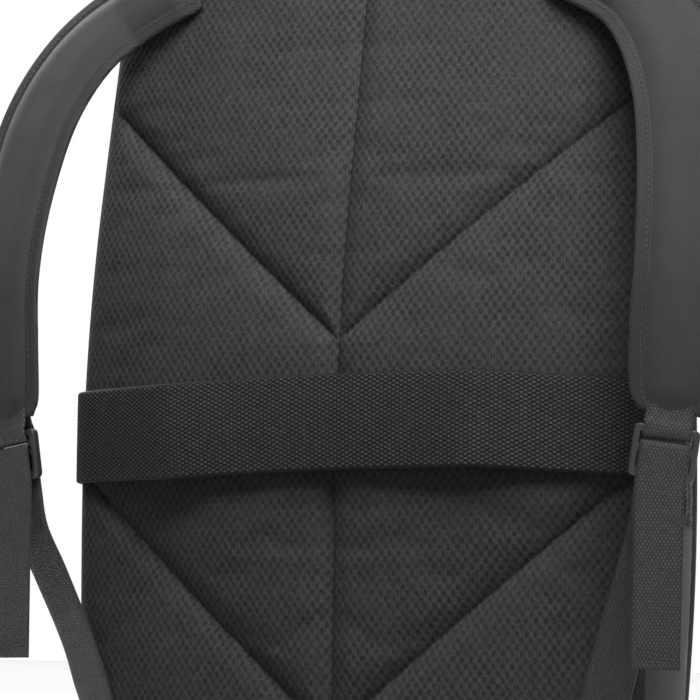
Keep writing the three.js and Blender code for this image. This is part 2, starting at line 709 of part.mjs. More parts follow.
const bag = new THREE.Group();
function put(name, geometry, look) {
  const m = new THREE.Mesh(geometry, new THREE.MeshStandardMaterial(look));
  m.name = name;
  bag.add(m);
}
put("back_panel", backPanel(), mesh3d);
put("front_panel", frontPanel(), cloth);
put("gusset_rear", gussetRear, cloth);
put("gusset_front", gussetFront, cloth);
put("base_gusset", baseGusset, cloth);
put("main_zip", mainZip, tape);
put("zip_slider_left", zipSlider(-1), metal);
put("zip_slider_right", zipSlider(1), metal);
put("luggage_strap", luggageStrap(), web);
put("grab_handle", grabHandle(), web);
for (const [word, side] of [
  ["left", -1],
  ["right", 1],
]) {
  put("shoulder_strap_" + word, shoulderStrap(side), mesh3d);
  put("strap_adjuster_" + word, adjuster(side), plastic);
  put("strap_webbing_" + word, webbing(side), web);
}

const backpack = new THREE.Group();
backpack.add(bag);
const box = new THREE.Box3().setFromObject(bag, true);
bag.position.y = -(box.min.y + box.max.y) / 2;

export default backpack;
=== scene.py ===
"""Looks of the laptop backpack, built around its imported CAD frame. Sizes are in millimetres in the part's own
sewing frame (y = 0 on the back panel's middle) and are turned into metres in the row frame by place()."""
import math

import bmesh
import bpy
import numpy as np
from mathutils import Matrix, Vector


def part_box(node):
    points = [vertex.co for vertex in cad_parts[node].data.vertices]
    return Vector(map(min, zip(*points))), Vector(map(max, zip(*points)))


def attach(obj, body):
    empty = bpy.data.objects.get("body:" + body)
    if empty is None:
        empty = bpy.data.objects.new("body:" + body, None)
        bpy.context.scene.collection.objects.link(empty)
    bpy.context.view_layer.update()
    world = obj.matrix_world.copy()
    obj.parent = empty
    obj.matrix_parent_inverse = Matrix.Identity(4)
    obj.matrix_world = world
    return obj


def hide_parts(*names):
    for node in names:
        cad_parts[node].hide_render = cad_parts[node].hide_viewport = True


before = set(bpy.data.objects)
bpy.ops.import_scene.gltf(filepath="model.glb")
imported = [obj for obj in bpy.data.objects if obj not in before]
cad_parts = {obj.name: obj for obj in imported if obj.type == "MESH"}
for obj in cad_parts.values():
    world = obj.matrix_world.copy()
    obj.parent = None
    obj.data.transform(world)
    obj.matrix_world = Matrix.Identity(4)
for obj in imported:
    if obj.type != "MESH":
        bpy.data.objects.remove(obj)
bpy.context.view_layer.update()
scene = bpy.context.scene

# The row frame is centred in depth; the luggage strap's outer face is 10.5 mm behind the panel's middle.
SHIFT_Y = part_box("luggage_strap")[0][1] * 1000 + 10.5

# ------------------------------------------------------------------ sizes shared with the CAD solids
HW, H, RT, RB = 163.0, 490.0, 70.0, 42.0
TOP_TAPER, BASE_TAPER, WIDEST = 0.03, 0.03, 200.0
CROWN, CROWN_AT, LEAN0, LEAN1, LEAN_SLOPE = 16.0, 120.0, 170.0, 330.0, 0.2
TUCK_BELOW, TUCK = 46.0, 7.0
PAD = 12.0
QUILT_SLOPE, QUILT_APEX, QUILT_PITCH = 0.88, 245.0, 210.0
FRONT_ROWS = [(0, 146), (60, 160), (140, 167), (240, 163), (340, 154), (430, 142), (490, 129)]
FRONT_CROWN, EDGE_R = 20.0, 16.0
SPLIT_Z, SIDE_BULGE, TOP_BULGE = 150.0, 7.0, 3.0
ZIP_AT, ZIP_W = 0.58, 14.0
CLOTH = 2.0
STRAP_Z, STRAP_W, STRAP_T = 200.0, 50.0, 2.0
STRAP_ROWS = [  # x, y of the inner face, rise of the middle line
    (-164.4, 41.2, -4.5), (-164.2, 36.4, -4.5), (-161.6, 31.2, -4.5), (-154.0, 24.6, -4.4), (-124.0, 8.3, -4.1),
    (-99.0, -5.4, -3.9), (-95.6, -7.0, -3.85), (-91.3, -8.1, -3.75), (-87.0, -8.5, -3.55), (-46.0, -8.5, -1.6),
    (-6.0, -8.5, 0.1), (34.0, -8.5, 1.35), (73.0, -8.5, 1.8), (77.3, -8.1, 1.8), (82.0, -6.8, 1.75),
    (88.0, -4.2, 1.6), (117.0, 8.4, 0.3), (154.0, 24.6, -1.2), (161.6, 31.2, -1.5), (164.2, 36.4, -1.6),
    (164.4, 41.2, -1.6),
]
SHOULDER_ROWS = [  # x, z, stand-off, width, thickness, turn
    (105, 455, 6.3, 41, 9, 0), (125, 447.5, 8.3, 45, 11, 2), (150, 437, 13, 49, 12, 5), (172.5, 412, 20, 54, 12, 11),
    (188, 374, 26, 58, 12, 17), (195, 327, 30, 59, 12, 21), (196.5, 280, 32, 59, 12, 23), (193, 240, 31, 55, 11.5, 22),
    (188.5, 213, 30, 45, 10, 20), (187, 203, 29.5, 36, 7, 18),
]
FOOT_ROWS = [  # x, z, stand-off, turn
    (137.5, 22, 1.4, 0), (140.5, 34, 1.5, 0), (145, 52, 2.6, -2), (154, 82, 7.5, -6), (168, 120, 16, -11),
]
SHOULDER_EDGE_X = 150.0
WEB_W, WEB_T, TAIL = 25.0, 1.4, 92.0
ADJ = dict(width=34, length=27, thick=4.5, side=3.6, top_bar=4, top_slot=6, mid_bar=4, low_slot=8, start=7)
HANDLE_Y, HANDLE_W, HANDLE_T = 71.5, 18.0, 3.0
HANDLE_ROWS = [
    (-66, 493.6), (-54, 493.8), (-49, 496), (-45.5, 502), (-41, 511), (-32, 518), (-16, 521.5), (0, 522.5),
    (16, 521.5), (32, 518), (41, 511), (45.5, 502), (49, 496), (54, 493.8), (66, 493.6),
]
SLIDER = dict(at=9, length=12, width=9, height=4.2, pull=34, pull_w=7, pull_t=2.2)

# ------------------------------------------------------------------ numbers
rng = np.random.RandomState(11)
PERM = np.concatenate([rng.permutation(256)] * 2)
GRAD = rng.normal(size=(256, 3))
GRAD /= np.linalg.norm(GRAD, axis=1)[:, None]


def noise(p, scale, seed=0.0):
    """Smooth noise, about -0.6 to 0.6, at points in millimetres; scale is the size of one lump."""
    p = np.asarray(p, float) / scale + seed * 17.31
    i = np.floor(p).astype(int)
    f = p - i
    u = f * f * f * (f * (f * 6 - 15) + 10)

    def corner(a, b, c):
        h = PERM[(PERM[(PERM[(i[..., 0] + a) & 255] + i[..., 1] + b) & 255] + i[..., 2] + c) & 255]
        return (GRAD[h] * (f - np.array([a, b, c], float))).sum(-1)

    def lerp(a, b, t):
        return a + (b - a) * t

    x0 = lerp(corner(0, 0, 0), corner(1, 0, 0), u[..., 0])
    x1 = lerp(corner(0, 1, 0), corner(1, 1, 0), u[..., 0])
    x2 = lerp(corner(0, 0, 1), corner(1, 0, 1), u[..., 0])
    x3 = lerp(corner(0, 1, 1), corner(1, 1, 1), u[..., 0])
    return lerp(lerp(x0, x1, u[..., 1]), lerp(x2, x3, u[..., 1]), u[..., 2])


def along(keys, values, at):
    """Smooth value through the rows of a table."""
    keys, values, at = np.asarray(keys, float), np.asarray(values, float), np.asarray(at, float)
    n = len(keys)
    at = np.clip(at, keys[0], keys[-1])
    i = np.clip(np.searchsorted(keys, at, side="left") - 1, 0, n - 2)
    h = keys[i + 1] - keys[i]
    t = (at - keys[i]) / h

    def slope(a, b):
        return (values[b] - values[a]) / (keys[b] - keys[a])

    m0 = slope(np.maximum(i - 1, 0), i + 1) * h
    m1 = slope(i, np.minimum(i + 2, n - 1)) * h
    t2, t3 = t * t, t * t * t
    return (2 * t3 - 3 * t2 + 1) * values[i] + (t3 - 2 * t2 + t) * m0 + (3 * t2 - 2 * t3) * values[i + 1] + (t3 - t2) * m1


def resample(rows, step, closed=False):
    """Rows of a table (its first columns are a place) smoothed and cut at an even step."""
    rows = np.asarray(rows, float)
    d = np.r_[0, np.cumsum(np.linalg.norm(np.diff(rows[:, :3], axis=0), axis=1))]
    fine = np.linspace(0, d[-1], 4000)
    cols = np.stack([along(d, rows[:, c], fine) for c in range(rows.shape[1])], 1)
    s = np.r_[0, np.cumsum(np.linalg.norm(np.diff(cols[:, :3], axis=0), axis=1))]
    n = max(4, int(round(s[-1] / step)))
    at = np.linspace(0, s[-1], n + 1)
    return np.stack([np.interp(at, s, cols[:, c]) for c in range(rows.shape[1])], 1), at


def smoothstep(a, b, x):
    t = np.clip((x - a) / (b - a), 0, 1)
    return t * t * (3 - 2 * t)


def unit(v):
    return v / np.maximum(np.linalg.norm(v, axis=-1, keepdims=True), 1e-12)


# ------------------------------------------------------------------ the bag's form
def taper(z):
    z = np.asarray(z, float)
    return np.where(z > WIDEST, 1 - TOP_TAPER * ((z - WIDEST) / (H - WIDEST)) ** 2, 1 - BASE_TAPER * ((WIDEST - z) / WIDEST) ** 2)


def half_width(z):
    z = np.asarray(z, float)
    x = np.full(z.shape, HW)
    x = np.where(z < RB, HW - RB + np.sqrt(np.maximum(0, RB * RB - (RB - z) ** 2)), x)
    x = np.where(z > H - RT, HW - RT + np.sqrt(np.maximum(0, RT * RT - (z - H + RT) ** 2)), x)
    return x * taper(z)


def lean(z):
    z = np.asarray(z, float)
    run = LEAN1 - LEAN0
    return np.where(z <= LEAN0, 0, np.where(z < LEAN1, LEAN_SLOPE * (z - LEAN0) ** 2 / (2 * run), LEAN_SLOPE * (run / 2 + z - LEAN1)))


def tuck(z):
    z = np.asarray(z, float)
    return np.where(z < TUCK_BELOW, TUCK * ((TUCK_BELOW - z) / TUCK_BELOW) ** 2, 0)


def back_y(x, z):
    return CROWN * (np.asarray(x, float) / CROWN_AT) ** 2 + lean(z) + tuck(z)


def front_y(x, z):
    return along([r[0] for r in FRONT_ROWS], [r[1] for r in FRONT_ROWS], z) - FRONT_CROWN * (np.asarray(x, float) / HW) ** 2


def rear_seam(x, z):
    return back_y(x, z) + PAD + 0.3


def front_seam(x, z):
    return front_y(x, z) - EDGE_R


def outline(which, step):
    """Points of the outline seen from behind, with outward directions: which is upper, lower or all."""
    pts = []

    def line(x0, z0, x1, z1):
        n = max(2, int(math.hypot(x1 - x0, z1 - z0) / step))
        for i in range(1 if pts else 0, n + 1):
            pts.append((x0 + (x1 - x0) * i / n, z0 + (z1 - z0) * i / n))

    def arc(cx, cz, r, a0, a1):
        n = max(4, int(r * math.radians(abs(a1 - a0)) / step))
        for i in range(1, n + 1):
            a = math.radians(a0 + (a1 - a0) * i / n)
            pts.append((cx + r * math.cos(a), cz + r * math.sin(a)))

    if which in ("upper", "all"):
        line(HW, SPLIT_Z + 0.15, HW, H - RT)
        arc(HW - RT, H - RT, RT, 0, 90)
        line(HW - RT, H, RT - HW, H)
        arc(RT - HW, H - RT, RT, 90, 180)
        line(-HW, H - RT, -HW, SPLIT_Z + 0.15)
    if which in ("lower", "all"):
        line(-HW, SPLIT_Z - 0.15, -HW, RB)
        arc(RB - HW, RB, RB, 180, 270)
        line(RB - HW, 0, HW - RB, 0)
        arc(HW - RB, RB, RB, 270, 360)
        line(HW, RB, HW, SPLIT_Z - 0.15)
    p = np.array(pts)
    p[:, 0] *= taper(p[:, 1])
    d = np.gradient(p, axis=0) if which != "all" else np.roll(p, -1, 0) - np.roll(p, 1, 0)
    d = unit(d)
    s = np.r_[0, np.cumsum(np.linalg.norm(np.diff(p, axis=0), axis=1))]
    return p[:, 0], p[:, 1], d[:, 1], -d[:, 0], s


# ------------------------------------------------------------------ meshes
def place(p):
    """Millimetres of the sewing frame to metres of the row frame."""
    p = np.asarray(p, float).copy()
    p[..., 1] += SHIFT_Y
    p[..., 2] = np.maximum(p[..., 2], 0.0)
    return p / 1000.0


def make(name, points, faces, mats, uv=None, face_mats=None, smooth=True, world=False):
    me = bpy.data.meshes.new(name)
    pts = np.asarray(points, float).reshape(-1, 3)
    me.from_pydata((pts if world else place(pts)).tolist(), [], [tuple(int(i) for i in f) for f in faces])
    me.polygons.foreach_set("use_smooth", np.full(len(me.polygons), smooth))
    for m in mats:
        me.materials.append(m)
    if face_mats is not None:
        me.polygons.foreach_set("material_index", np.asarray(face_mats, np.int32))
    if uv is not None:
        layer = me.uv_layers.new(name="UVMap")
        idx = np.empty(len(me.loops), np.int32)
        me.loops.foreach_get("vertex_index", idx)
        layer.data.foreach_set("uv", (np.asarray(uv, float).reshape(-1, 2)[idx] / 1000.0).astype(np.float32).ravel())
    me.validate()
    me.update()
    ob = bpy.data.objects.new(name, me)
    scene.collection.objects.link(ob)
    return ob


def grid_normals(p, wrap=False):
    if wrap:
        du = np.roll(p, -1, 0) - np.roll(p, 1, 0)
    else:
        du = np.gradient(p, axis=0)
    dv = np.gradient(p, axis=1)
    return unit(np.cross(du, dv))


def cloth_wall(name, p, n, thick, uv, mats, wrap=False, edge=0.3, inner_cols=None):
    """A closed piece of cloth or webbing: p is its outer face as a grid of rows (along) and columns (across)."""
    rows, cols = p.shape[:2]
    pick = list(range(cols)) if inner_cols is None else inner_cols
    inner = p[:, pick] - n[:, pick] * thick
    across0, across1 = unit(p[:, 0] - p[:, 1]), unit(p[:, -1] - p[:, -2])
    mid0 = (p[:, 0] + inner[:, 0]) / 2 + across0 * thick * edge
    mid1 = (p[:, -1] + inner[:, -1]) / 2 + across1 * thick * edge
    ring = np.concatenate([p, mid1[:, None], inner[:, ::-1], mid0[:, None]], 1)
    m = ring.shape[1]
    uv_in = uv[:, pick]
    uvs = np.concatenate([uv, uv[:, -1:], uv_in[:, ::-1], uv[:, :1]], 1)
    k = np.arange(rows if wrap else rows - 1)
    faces = []
    a = (k[:, None] * m + np.arange(m)[None]).reshape(-1)
    b = (k[:, None] * m + (np.arange(m)[None] + 1) % m).reshape(-1)
    c = (((k + 1) % rows)[:, None] * m + (np.arange(m)[None] + 1) % m).reshape(-1)
    d = (((k + 1) % rows)[:, None] * m + np.arange(m)[None]).reshape(-1)
    faces = np.stack([a, b, c, d], 1).tolist()
    if not wrap:
        faces.append([int(i) for i in range(m)][::-1])
        faces.append([int((rows - 1) * m + i) for i in range(m)])
    ob = make(name, ring, faces, mats, uvs)
    outward(ob)
    return ob


def outward(ob):
    """Turns the faces of a closed mesh so that they point out."""
    me = ob.data
    bm = bmesh.new()
    bm.from_mesh(me)
    if bm.calc_volume(signed=True) < 0:
        bmesh.ops.reverse_faces(bm, faces=bm.faces[:])
    bm.to_mesh(me)
    bm.free()


def tube(name, path, radius, mats, sides=8, wrap=True):
    p = np.asarray(path, float)
    t = unit(np.roll(p, -1, 0) - np.roll(p, 1, 0)) if wrap else unit(np.gradient(p, axis=0))
    ref = np.tile([0.0, 1.0, 0.0], (len(p), 1))
    a = unit(np.cross(t, ref))
    b = np.cross(t, a)
    ang = np.linspace(0, 2 * np.pi, sides, endpoint=False)
    ring = p[:, None] + radius * (np.cos(ang)[None, :, None] * a[:, None] + np.sin(ang)[None, :, None] * b[:, None])
    s = np.r_[0, np.cumsum(np.linalg.norm(np.diff(p, axis=0), axis=1))]
    uv = np.stack(np.broadcast_arrays(s[:, None], ang[None] * radius), -1)
    rows, m = ring.shape[:2]
    faces = []
    for k in range(rows if wrap else rows - 1):
        for i in range(m):
            faces.append((k * m + i, k * m + (i + 1) % m, ((k + 1) % rows) * m + (i + 1) % m, ((k + 1) % rows) * m + i))
    if not wrap:
        faces.append(tuple(range(m))[::-1])
        faces.append(tuple((rows - 1) * m + i for i in range(m)))
    ob = make(name, ring, faces, mats, uv)
    outward(ob)
    return ob


def stitches(name, lines, mat, pitch=3.6, length=2.5, radius=0.33):
    """Rows of thread: each line is (points, directions off the cloth). Every stitch is a short, rounded bar."""
    pts, faces = [], []
    prof = [(-0.5, 0.25), (-0.36, 0.8), (0.0, 1.0), (0.36, 0.8), (0.5, 0.25)]
    sides = 6
    for p, n in lines:
        p, n = np.asarray(p, float), np.asarray(n, float)
        s = np.r_[0, np.cumsum(np.linalg.norm(np.diff(p, axis=0), axis=1))]
        for at in np.arange(pitch / 2, s[-1] - pitch / 4, pitch):
            c = np.array([np.interp(at, s, p[:, i]) for i in range(3)])
            e = np.array([np.interp(at + 0.4, s, p[:, i]) - np.interp(at - 0.4, s, p[:, i]) for i in range(3)])
            up = np.array([np.interp(at, s, n[:, i]) for i in range(3)])
            e, up = unit(e), unit(up)
            side = np.cross(e, up)
            base = len(pts)
            for u, r in prof:
                lift = 0.12 * radius + 0.45 * radius * (1 - (2 * u) ** 2)
                for j in range(sides):
                    a = 2 * math.pi * j / sides
                    pts.append(c + e * u * length + up * (lift + radius * r * math.sin(a) * 0.8) + side * radius * r * math.cos(a))
            for k in range(len(prof) - 1):
                for j in range(sides):
                    faces.append((base + k * sides + j, base + k * sides + (j + 1) % sides, base + (k + 1) * sides + (j + 1) % sides, base + (k + 1) * sides + j))
            faces.append(tuple(base + j for j in range(sides))[::-1])
            faces.append(tuple(base + (len(prof) - 1) * sides + j for j in range(sides)))
    ob = make(name, np.array(pts), faces, [mat])
    return ob


# ------------------------------------------------------------------ materials
class Nodes:
    """Short words for building a node tree."""

    def __init__(self, name):
        self.mat = bpy.data.materials.new(name)
        self.mat.use_nodes = True
        self.t = self.mat.node_tree
        self.t.nodes.clear()
        self.out = self.t.nodes.new("ShaderNodeOutputMaterial")
        self.bsdf = self.t.nodes.new("ShaderNodeBsdfPrincipled")
        self.t.links.new(self.bsdf.outputs[0], self.out.inputs[0])

    def new(self, kind, **props):
        n = self.t.nodes.new(kind)
        for k, v in props.items():
            setattr(n, k, v)
        return n

    def put(self, socket, value):
        if isinstance(value, bpy.types.NodeSocket):
            self.t.links.new(value, socket)
        else:
            socket.default_value = value

    def math(self, op, a, b=0.0, c=None, clamp=False):
        n = self.new("ShaderNodeMath", operation=op, use_clamp=clamp)
        self.put(n.inputs[0], a)
        self.put(n.inputs[1], b)
        if c is not None:
            self.put(n.inputs[2], c)
        return n.outputs[0]

    def uv(self):
        n = self.new("ShaderNodeUVMap", uv_map="UVMap")
        s = self.new("ShaderNodeSeparateXYZ")
        self.put(s.inputs[0], n.outputs[0])
        return n.outputs[0], s.outputs[0], s.outputs[1]

    def spot(self):
        return self.new("ShaderNodeTexCoord").outputs["Object"]

    def noise(self, vector, scale, detail=2.0, rough=0.5):
        n = self.new("ShaderNodeTexNoise")
        self.put(n.inputs["Vector"], vector)
        n.inputs["Scale"].default_value = scale
        n.inputs["Detail"].default_value = detail
        n.inputs["Roughness"].default_value = rough
        return n.outputs["Fac"]

    def step(self, value, lo, hi, to0=0.0, to1=1.0):
        n = self.new("ShaderNodeMapRange", interpolation_type="SMOOTHSTEP")
        self.put(n.inputs["Value"], value)
        n.inputs["From Min"].default_value = lo
        n.inputs["From Max"].default_value = hi
        n.inputs["To Min"].default_value = to0
        n.inputs["To Max"].default_value = to1
        return n.outputs[0]

    def mix(self, fac, a, b):
        n = self.new("ShaderNodeMix", data_type="RGBA")
        self.put(n.inputs["Factor"], fac)
        for key, v in (("A", a), ("B", b)):
            sock = next(s for s in n.inputs if s.name == key and s.type == "RGBA")
            self.put(sock, (*v, 1.0) if isinstance(v, tuple) else v)
        return next(s for s in n.outputs if s.type == "RGBA")

    def tone(self, colour, factor):
        """colour times a grey factor."""
        n = self.new("ShaderNodeVectorMath", operation="SCALE")
        self.put(n.inputs[0], colour)
        self.put(n.inputs["Scale"], factor)
        return n.outputs[0]

    def bump(self, height, distance, strength=1.0, normal=None):
        n = self.new("ShaderNodeBump")
        self.put(n.inputs["Height"], height)
        n.inputs["Distance"].default_value = distance
        n.inputs["Strength"].default_value = strength
        if normal is not None:
            self.put(n.inputs["Normal"], normal)
        return n.outputs[0]

    def finish(self, colour, normal=None, rough=0.8, rough_link=None, spec=0.3, sheen=0.0, metal=0.0, sheen_rough=0.5):
        b = self.bsdf
        self.put(b.inputs["Base Color"], colour if isinstance(colour, bpy.types.NodeSocket) else (*colour, 1.0))
        if normal is not None:
            self.put(b.inputs["Normal"], normal)
        if rough_link is not None:
            self.put(b.inputs["Roughness"], rough_link)
        else:
            b.inputs["Roughness"].default_value = rough
        b.inputs["Specular IOR Level"].default_value = spec
        b.inputs["Sheen Weight"].default_value = sheen
        b.inputs["Sheen Roughness"].default_value = sheen_rough
        b.inputs["Metallic"].default_value = metal
        return self.mat


TAU = 2 * math.pi


def lattice(k, u, v, pitch_u, pitch_v):
    """+1 on a staggered lattice of points, -1 halfway between them."""
    a = k.math("COSINE", k.math("MULTIPLY", u, TAU / pitch_u))
    b = k.math("COSINE", k.math("MULTIPLY", v, math.pi / pitch_v))
    return k.math("MULTIPLY", a, b)


def air_mesh():
    k = Nodes("air_mesh_black")
    spot = k.spot()
    _, u, v = k.uv()
    wob = k.noise(spot, 240.0, 1.0)
    u = k.math("ADD", u, k.math("MULTIPLY", k.math("SUBTRACT", wob, 0.5), 0.0019))
    wob2 = k.noise(spot, 210.0, 1.0)
    v = k.math("ADD", v, k.math("MULTIPLY", k.math("SUBTRACT", wob2, 0.5), 0.0017))
    f = lattice(k, u, v, 0.00487, 0.00345)
    hole = k.step(f, -0.55, 0.97)
    # Some places of the knit are pulled tighter than others, so their holes are nearly closed.
    tight = k.noise(spot, 42.0, 3.0, 0.6)
    hole = k.math("MULTIPLY", hole, k.step(tight, 0.30, 0.68, 0.66, 1.0))
    # Knitted ribs between the holes, and single filaments.
    wale = k.math("ADD", u, k.math("MULTIPLY", k.noise(spot, 520.0, 2.0), 0.0007))
    rib = k.math("COSINE", k.math("MULTIPLY", wale, TAU / 0.00122))
    grain = k.noise(spot, 1900.0, 2.0, 0.6)
    tuft = k.noise(spot, 760.0, 2.0, 0.6)
    lumps = k.noise(spot, 9.0, 3.0, 0.55)
    knots = k.noise(spot, 330.0, 1.0, 0.5)
    # The holes are coloured darker than the knit around them: painted shade inside the holes.
    col = k.mix(hole, (0.0470, 0.0470, 0.0478), (0.0226, 0.0226, 0.0231))
    shade = k.math("MULTIPLY_ADD", grain, 0.55, 0.725)
    shade = k.math("MULTIPLY", shade, k.math("MULTIPLY_ADD", tuft, 0.9, 0.55))
    shade = k.math("MULTIPLY", shade, k.math("MULTIPLY_ADD", knots, 0.6, 0.70))
    shade = k.math("MULTIPLY", shade, k.math("MULTIPLY_ADD", lumps, 0.30, 0.85))
    shade = k.math("MULTIPLY", shade, k.math("MULTIPLY_ADD", rib, 0.20, 1.0))
    col = k.tone(col, shade)
    height = k.math("SUBTRACT", 1.0, hole)
    height = k.math("MULTIPLY_ADD", grain, 0.30, height)
    height = k.math("MULTIPLY_ADD", tuft, 0.45, height)
    height = k.math("MULTIPLY_ADD", rib, 0.10, height)
    return k.finish(col, k.bump(height, 0.0005, 0.6), rough=0.92, spec=0.12, sheen=0.015)


def webbing(name, pitch_u, pitch_v, width, highlit_pick=(0.057, 0.057, 0.058), shaded_gap=(0.0105, 0.0105, 0.0108), depth=0.00019, rough=0.78, spec=0.15, sheen=0.0):
    """Woven strap: staggered picks along u (its length) and v (its width), with a plain selvedge."""
    k = Nodes(name)
    spot = k.spot()
    _, u, v = k.uv()
    f = lattice(k, v, u, pitch_v, pitch_u)
    # Lines across the strap between the columns of picks lie lower in the bump and are coloured darker: painted shade
    # in the gaps.
    between = k.math("SUBTRACT", 1.0, k.math("ABSOLUTE", k.math("COSINE", k.math("MULTIPLY", u, math.pi / pitch_u))))
    f = k.math("SUBTRACT", f, k.math("MULTIPLY", between, 0.5))
    edge = k.math("ABSOLUTE", k.math("SUBTRACT", v, width / 2))
    selv = k.step(edge, width / 2 - 0.0009, width / 2 - 0.0004)
    nub = k.step(f, -0.80, 0.72)
    grain = k.noise(spot, 2600.0, 2.0, 0.6)
    thread = k.math("COSINE", k.math("MULTIPLY", v, TAU / 0.00046))
    patch = k.noise(spot, 26.0, 3.0, 0.6)
    pick = k.noise(spot, 540.0, 1.0)
    # Picks are coloured light and the gaps between them dark: a painted highlight on the picks and painted shade in the
    # gaps, laid over the weave's pattern.
    col = k.mix(nub, shaded_gap, highlit_pick)
    col = k.mix(selv, col, (0.013, 0.013, 0.0135))
    shade = k.math("MULTIPLY_ADD", grain, 0.7, 0.65)
    shade = k.math("MULTIPLY", shade, k.math("MULTIPLY_ADD", patch, 0.36, 0.82))
    # No two picks lie quite alike.
    shade = k.math("MULTIPLY", shade, k.math("MULTIPLY_ADD", pick, 1.3, 0.35))
    col = k.tone(col, shade)
    height = k.math("MULTIPLY", nub, k.math("SUBTRACT", 1.0, k.math("MULTIPLY", selv, 0.7)))
    height = k.math("MULTIPLY_ADD", thread, 0.10, height)
    height = k.math("MULTIPLY_ADD", grain, 0.25, height)
    return k.finish(col, k.bump(height, depth, 0.9), rough=rough, spec=spec, sheen=sheen)


def shell_cloth():
    k = Nodes("shell_polyester_black")
    spot = k.spot()
    _, u, v = k.uv()
    f = lattice(k, u, v, 0.00125, 0.00062)
    nub = k.step(f, -0.7, 0.7)
    grain = k.noise(spot, 1500.0, 2.0, 0.6)
    lumps = k.noise(spot, 7.0, 3.0, 0.6)
    slub = k.noise(spot, 95.0, 2.0, 0.6)
    col = k.mix(nub, (0.020, 0.020, 0.021), (0.046, 0.046, 0.048))
    shade = k.math("MULTIPLY_ADD", grain, 0.5, 0.75)
    shade = k.math("MULTIPLY", shade, k.math("MULTIPLY_ADD", lumps, 0.4, 0.8))
    shade = k.math("MULTIPLY", shade, k.math("MULTIPLY_ADD", slub, 0.3, 0.85))
    col = k.tone(col, shade)
    height = k.math("MULTIPLY_ADD", grain, 0.3, nub)
    fine = k.bump(height, 0.00012, 0.8)
    return k.finish(col, k.bump(k.noise(spot, 30.0, 4.0, 0.55), 0.0016, 0.35, fine), rough=0.78, spec=0.28, sheen=0.08)


def binding_tape():
    k = Nodes("binding_tape_black")
    spot = k.spot()
    _, u, v = k.uv()
    rib = k.math("COSINE", k.math("MULTIPLY", u, TAU / 0.0011))
    grain = k.noise(spot, 2100.0, 2.0, 0.6)
    patch = k.noise(spot, 30.0, 2.0, 0.5)
    shade = k.math("MULTIPLY", k.math("MULTIPLY_ADD", grain, 0.6, 0.7), k.math("MULTIPLY_ADD", patch, 0.3, 0.85))
    col = k.tone(k.mix(k.step(rib, -0.6, 0.6), (0.014, 0.014, 0.0145), (0.032, 0.032, 0.033)), shade)
    height = k.math("MULTIPLY_ADD", grain, 0.4, rib)
    return k.finish(col, k.bump(height, 0.00012, 0.8), rough=0.7, spec=0.3, sheen=0.05)


def zip_tape():
    k = Nodes("zip_tape_black")
    spot = k.spot()
    _, u, v = k.uv()
    rib = k.math("COSINE", k.math("MULTIPLY", v, TAU / 0.0009))
    grain = k.noise(spot, 2000.0, 2.0, 0.6)
    col = k.tone(k.mix(k.step(rib, -0.7, 0.7), (0.010, 0.010, 0.0105), (0.026, 0.026, 0.027)), k.math("MULTIPLY_ADD", grain, 0.6, 0.7))
    return k.finish(col, k.bump(k.math("MULTIPLY_ADD", grain, 0.4, rib), 0.00012, 0.8), rough=0.75, spec=0.25)


def moulded():
    k = Nodes("moulded_plastic_black")
    spot = k.spot()
    fine = k.noise(spot, 1400.0, 2.0, 0.6)
    cloud = k.noise(spot, 60.0, 3.0, 0.6)
    col = k.tone(k.mix(cloud, (0.011, 0.011, 0.012), (0.021, 0.021, 0.022)), k.math("MULTIPLY_ADD", fine, 0.3, 0.85))
    rough = k.math("MULTIPLY_ADD", cloud, 0.22, 0.34)
    return k.finish(col, k.bump(fine, 0.00006, 0.7), rough_link=rough, spec=0.5)


def coil_nylon():
    k = Nodes("zip_coil_black")
    spot = k.spot()
    fine = k.noise(spot, 900.0, 2.0, 0.6)
    col = k.tone(k.mix(k.noise(spot, 80.0, 2.0), (0.012, 0.012, 0.013), (0.026, 0.026, 0.028)), k.math("MULTIPLY_ADD", fine, 0.4, 0.8))
    return k.finish(col, k.bump(fine, 0.00004, 0.6), rough=0.38, spec=0.5)


def dark_metal():
    k = Nodes("gunmetal")
    spot = k.spot()
    fine = k.noise(spot, 700.0, 3.0, 0.6)
    wear = k.noise(spot, 160.0, 4.0, 0.65)
    col = k.mix(k.step(wear, 0.45, 0.7), (0.055, 0.055, 0.058), (0.12, 0.12, 0.125))
    rough = k.math("MULTIPLY_ADD", wear, 0.25, 0.24)
    return k.finish(col, k.bump(fine, 0.00003, 0.5), rough_link=rough, spec=0.5, metal=1.0)


def thread():
    k = Nodes("sewing_thread_black")
    spot = k.spot()
    ply = k.noise(spot, 3200.0, 2.0, 0.6)
    col = k.mix(ply, (0.018, 0.018, 0.0185), (0.062, 0.062, 0.064))
    return k.finish(col, k.bump(ply, 0.00008, 0.8), rough=0.55, spec=0.35, sheen=0.05)


def floor_paint():
    k = Nodes("studio_floor")
    spot = k.spot()
    cloud = k.noise(spot, 3.0, 3.0, 0.5)
    col = k.mix(cloud, (0.78, 0.78, 0.78), (0.81, 0.81, 0.81))
    return k.finish(col, k.bump(k.noise(spot, 140.0, 2.0), 0.0003, 0.15), rough=0.6, spec=0.2)


M_MESH = air_mesh()
M_STRAP = webbing("luggage_webbing_black", 0.0022, 0.0023, 0.050)
M_WEB = webbing("strap_webbing_black", 0.0016, 0.0019, 0.025, highlit_pick=(0.056, 0.056, 0.057), shaded_gap=(0.012, 0.012, 0.0125), depth=0.00030, rough=0.62, spec=0.35, sheen=0.05)
M_HANDLE = webbing("handle_webbing_black", 0.0016, 0.0019, 0.018, highlit_pick=(0.056, 0.056, 0.057), shaded_gap=(0.012, 0.012, 0.0125), depth=0.00030, rough=0.62, spec=0.35, sheen=0.05)
M_CLOTH = shell_cloth()
M_BIND = binding_tape()
M_TAPE = zip_tape()
M_PLASTIC = moulded()
M_COIL = coil_nylon()
M_METAL = dark_metal()
M_THREAD = thread()

# ------------------------------------------------------------------ the quilted back pad


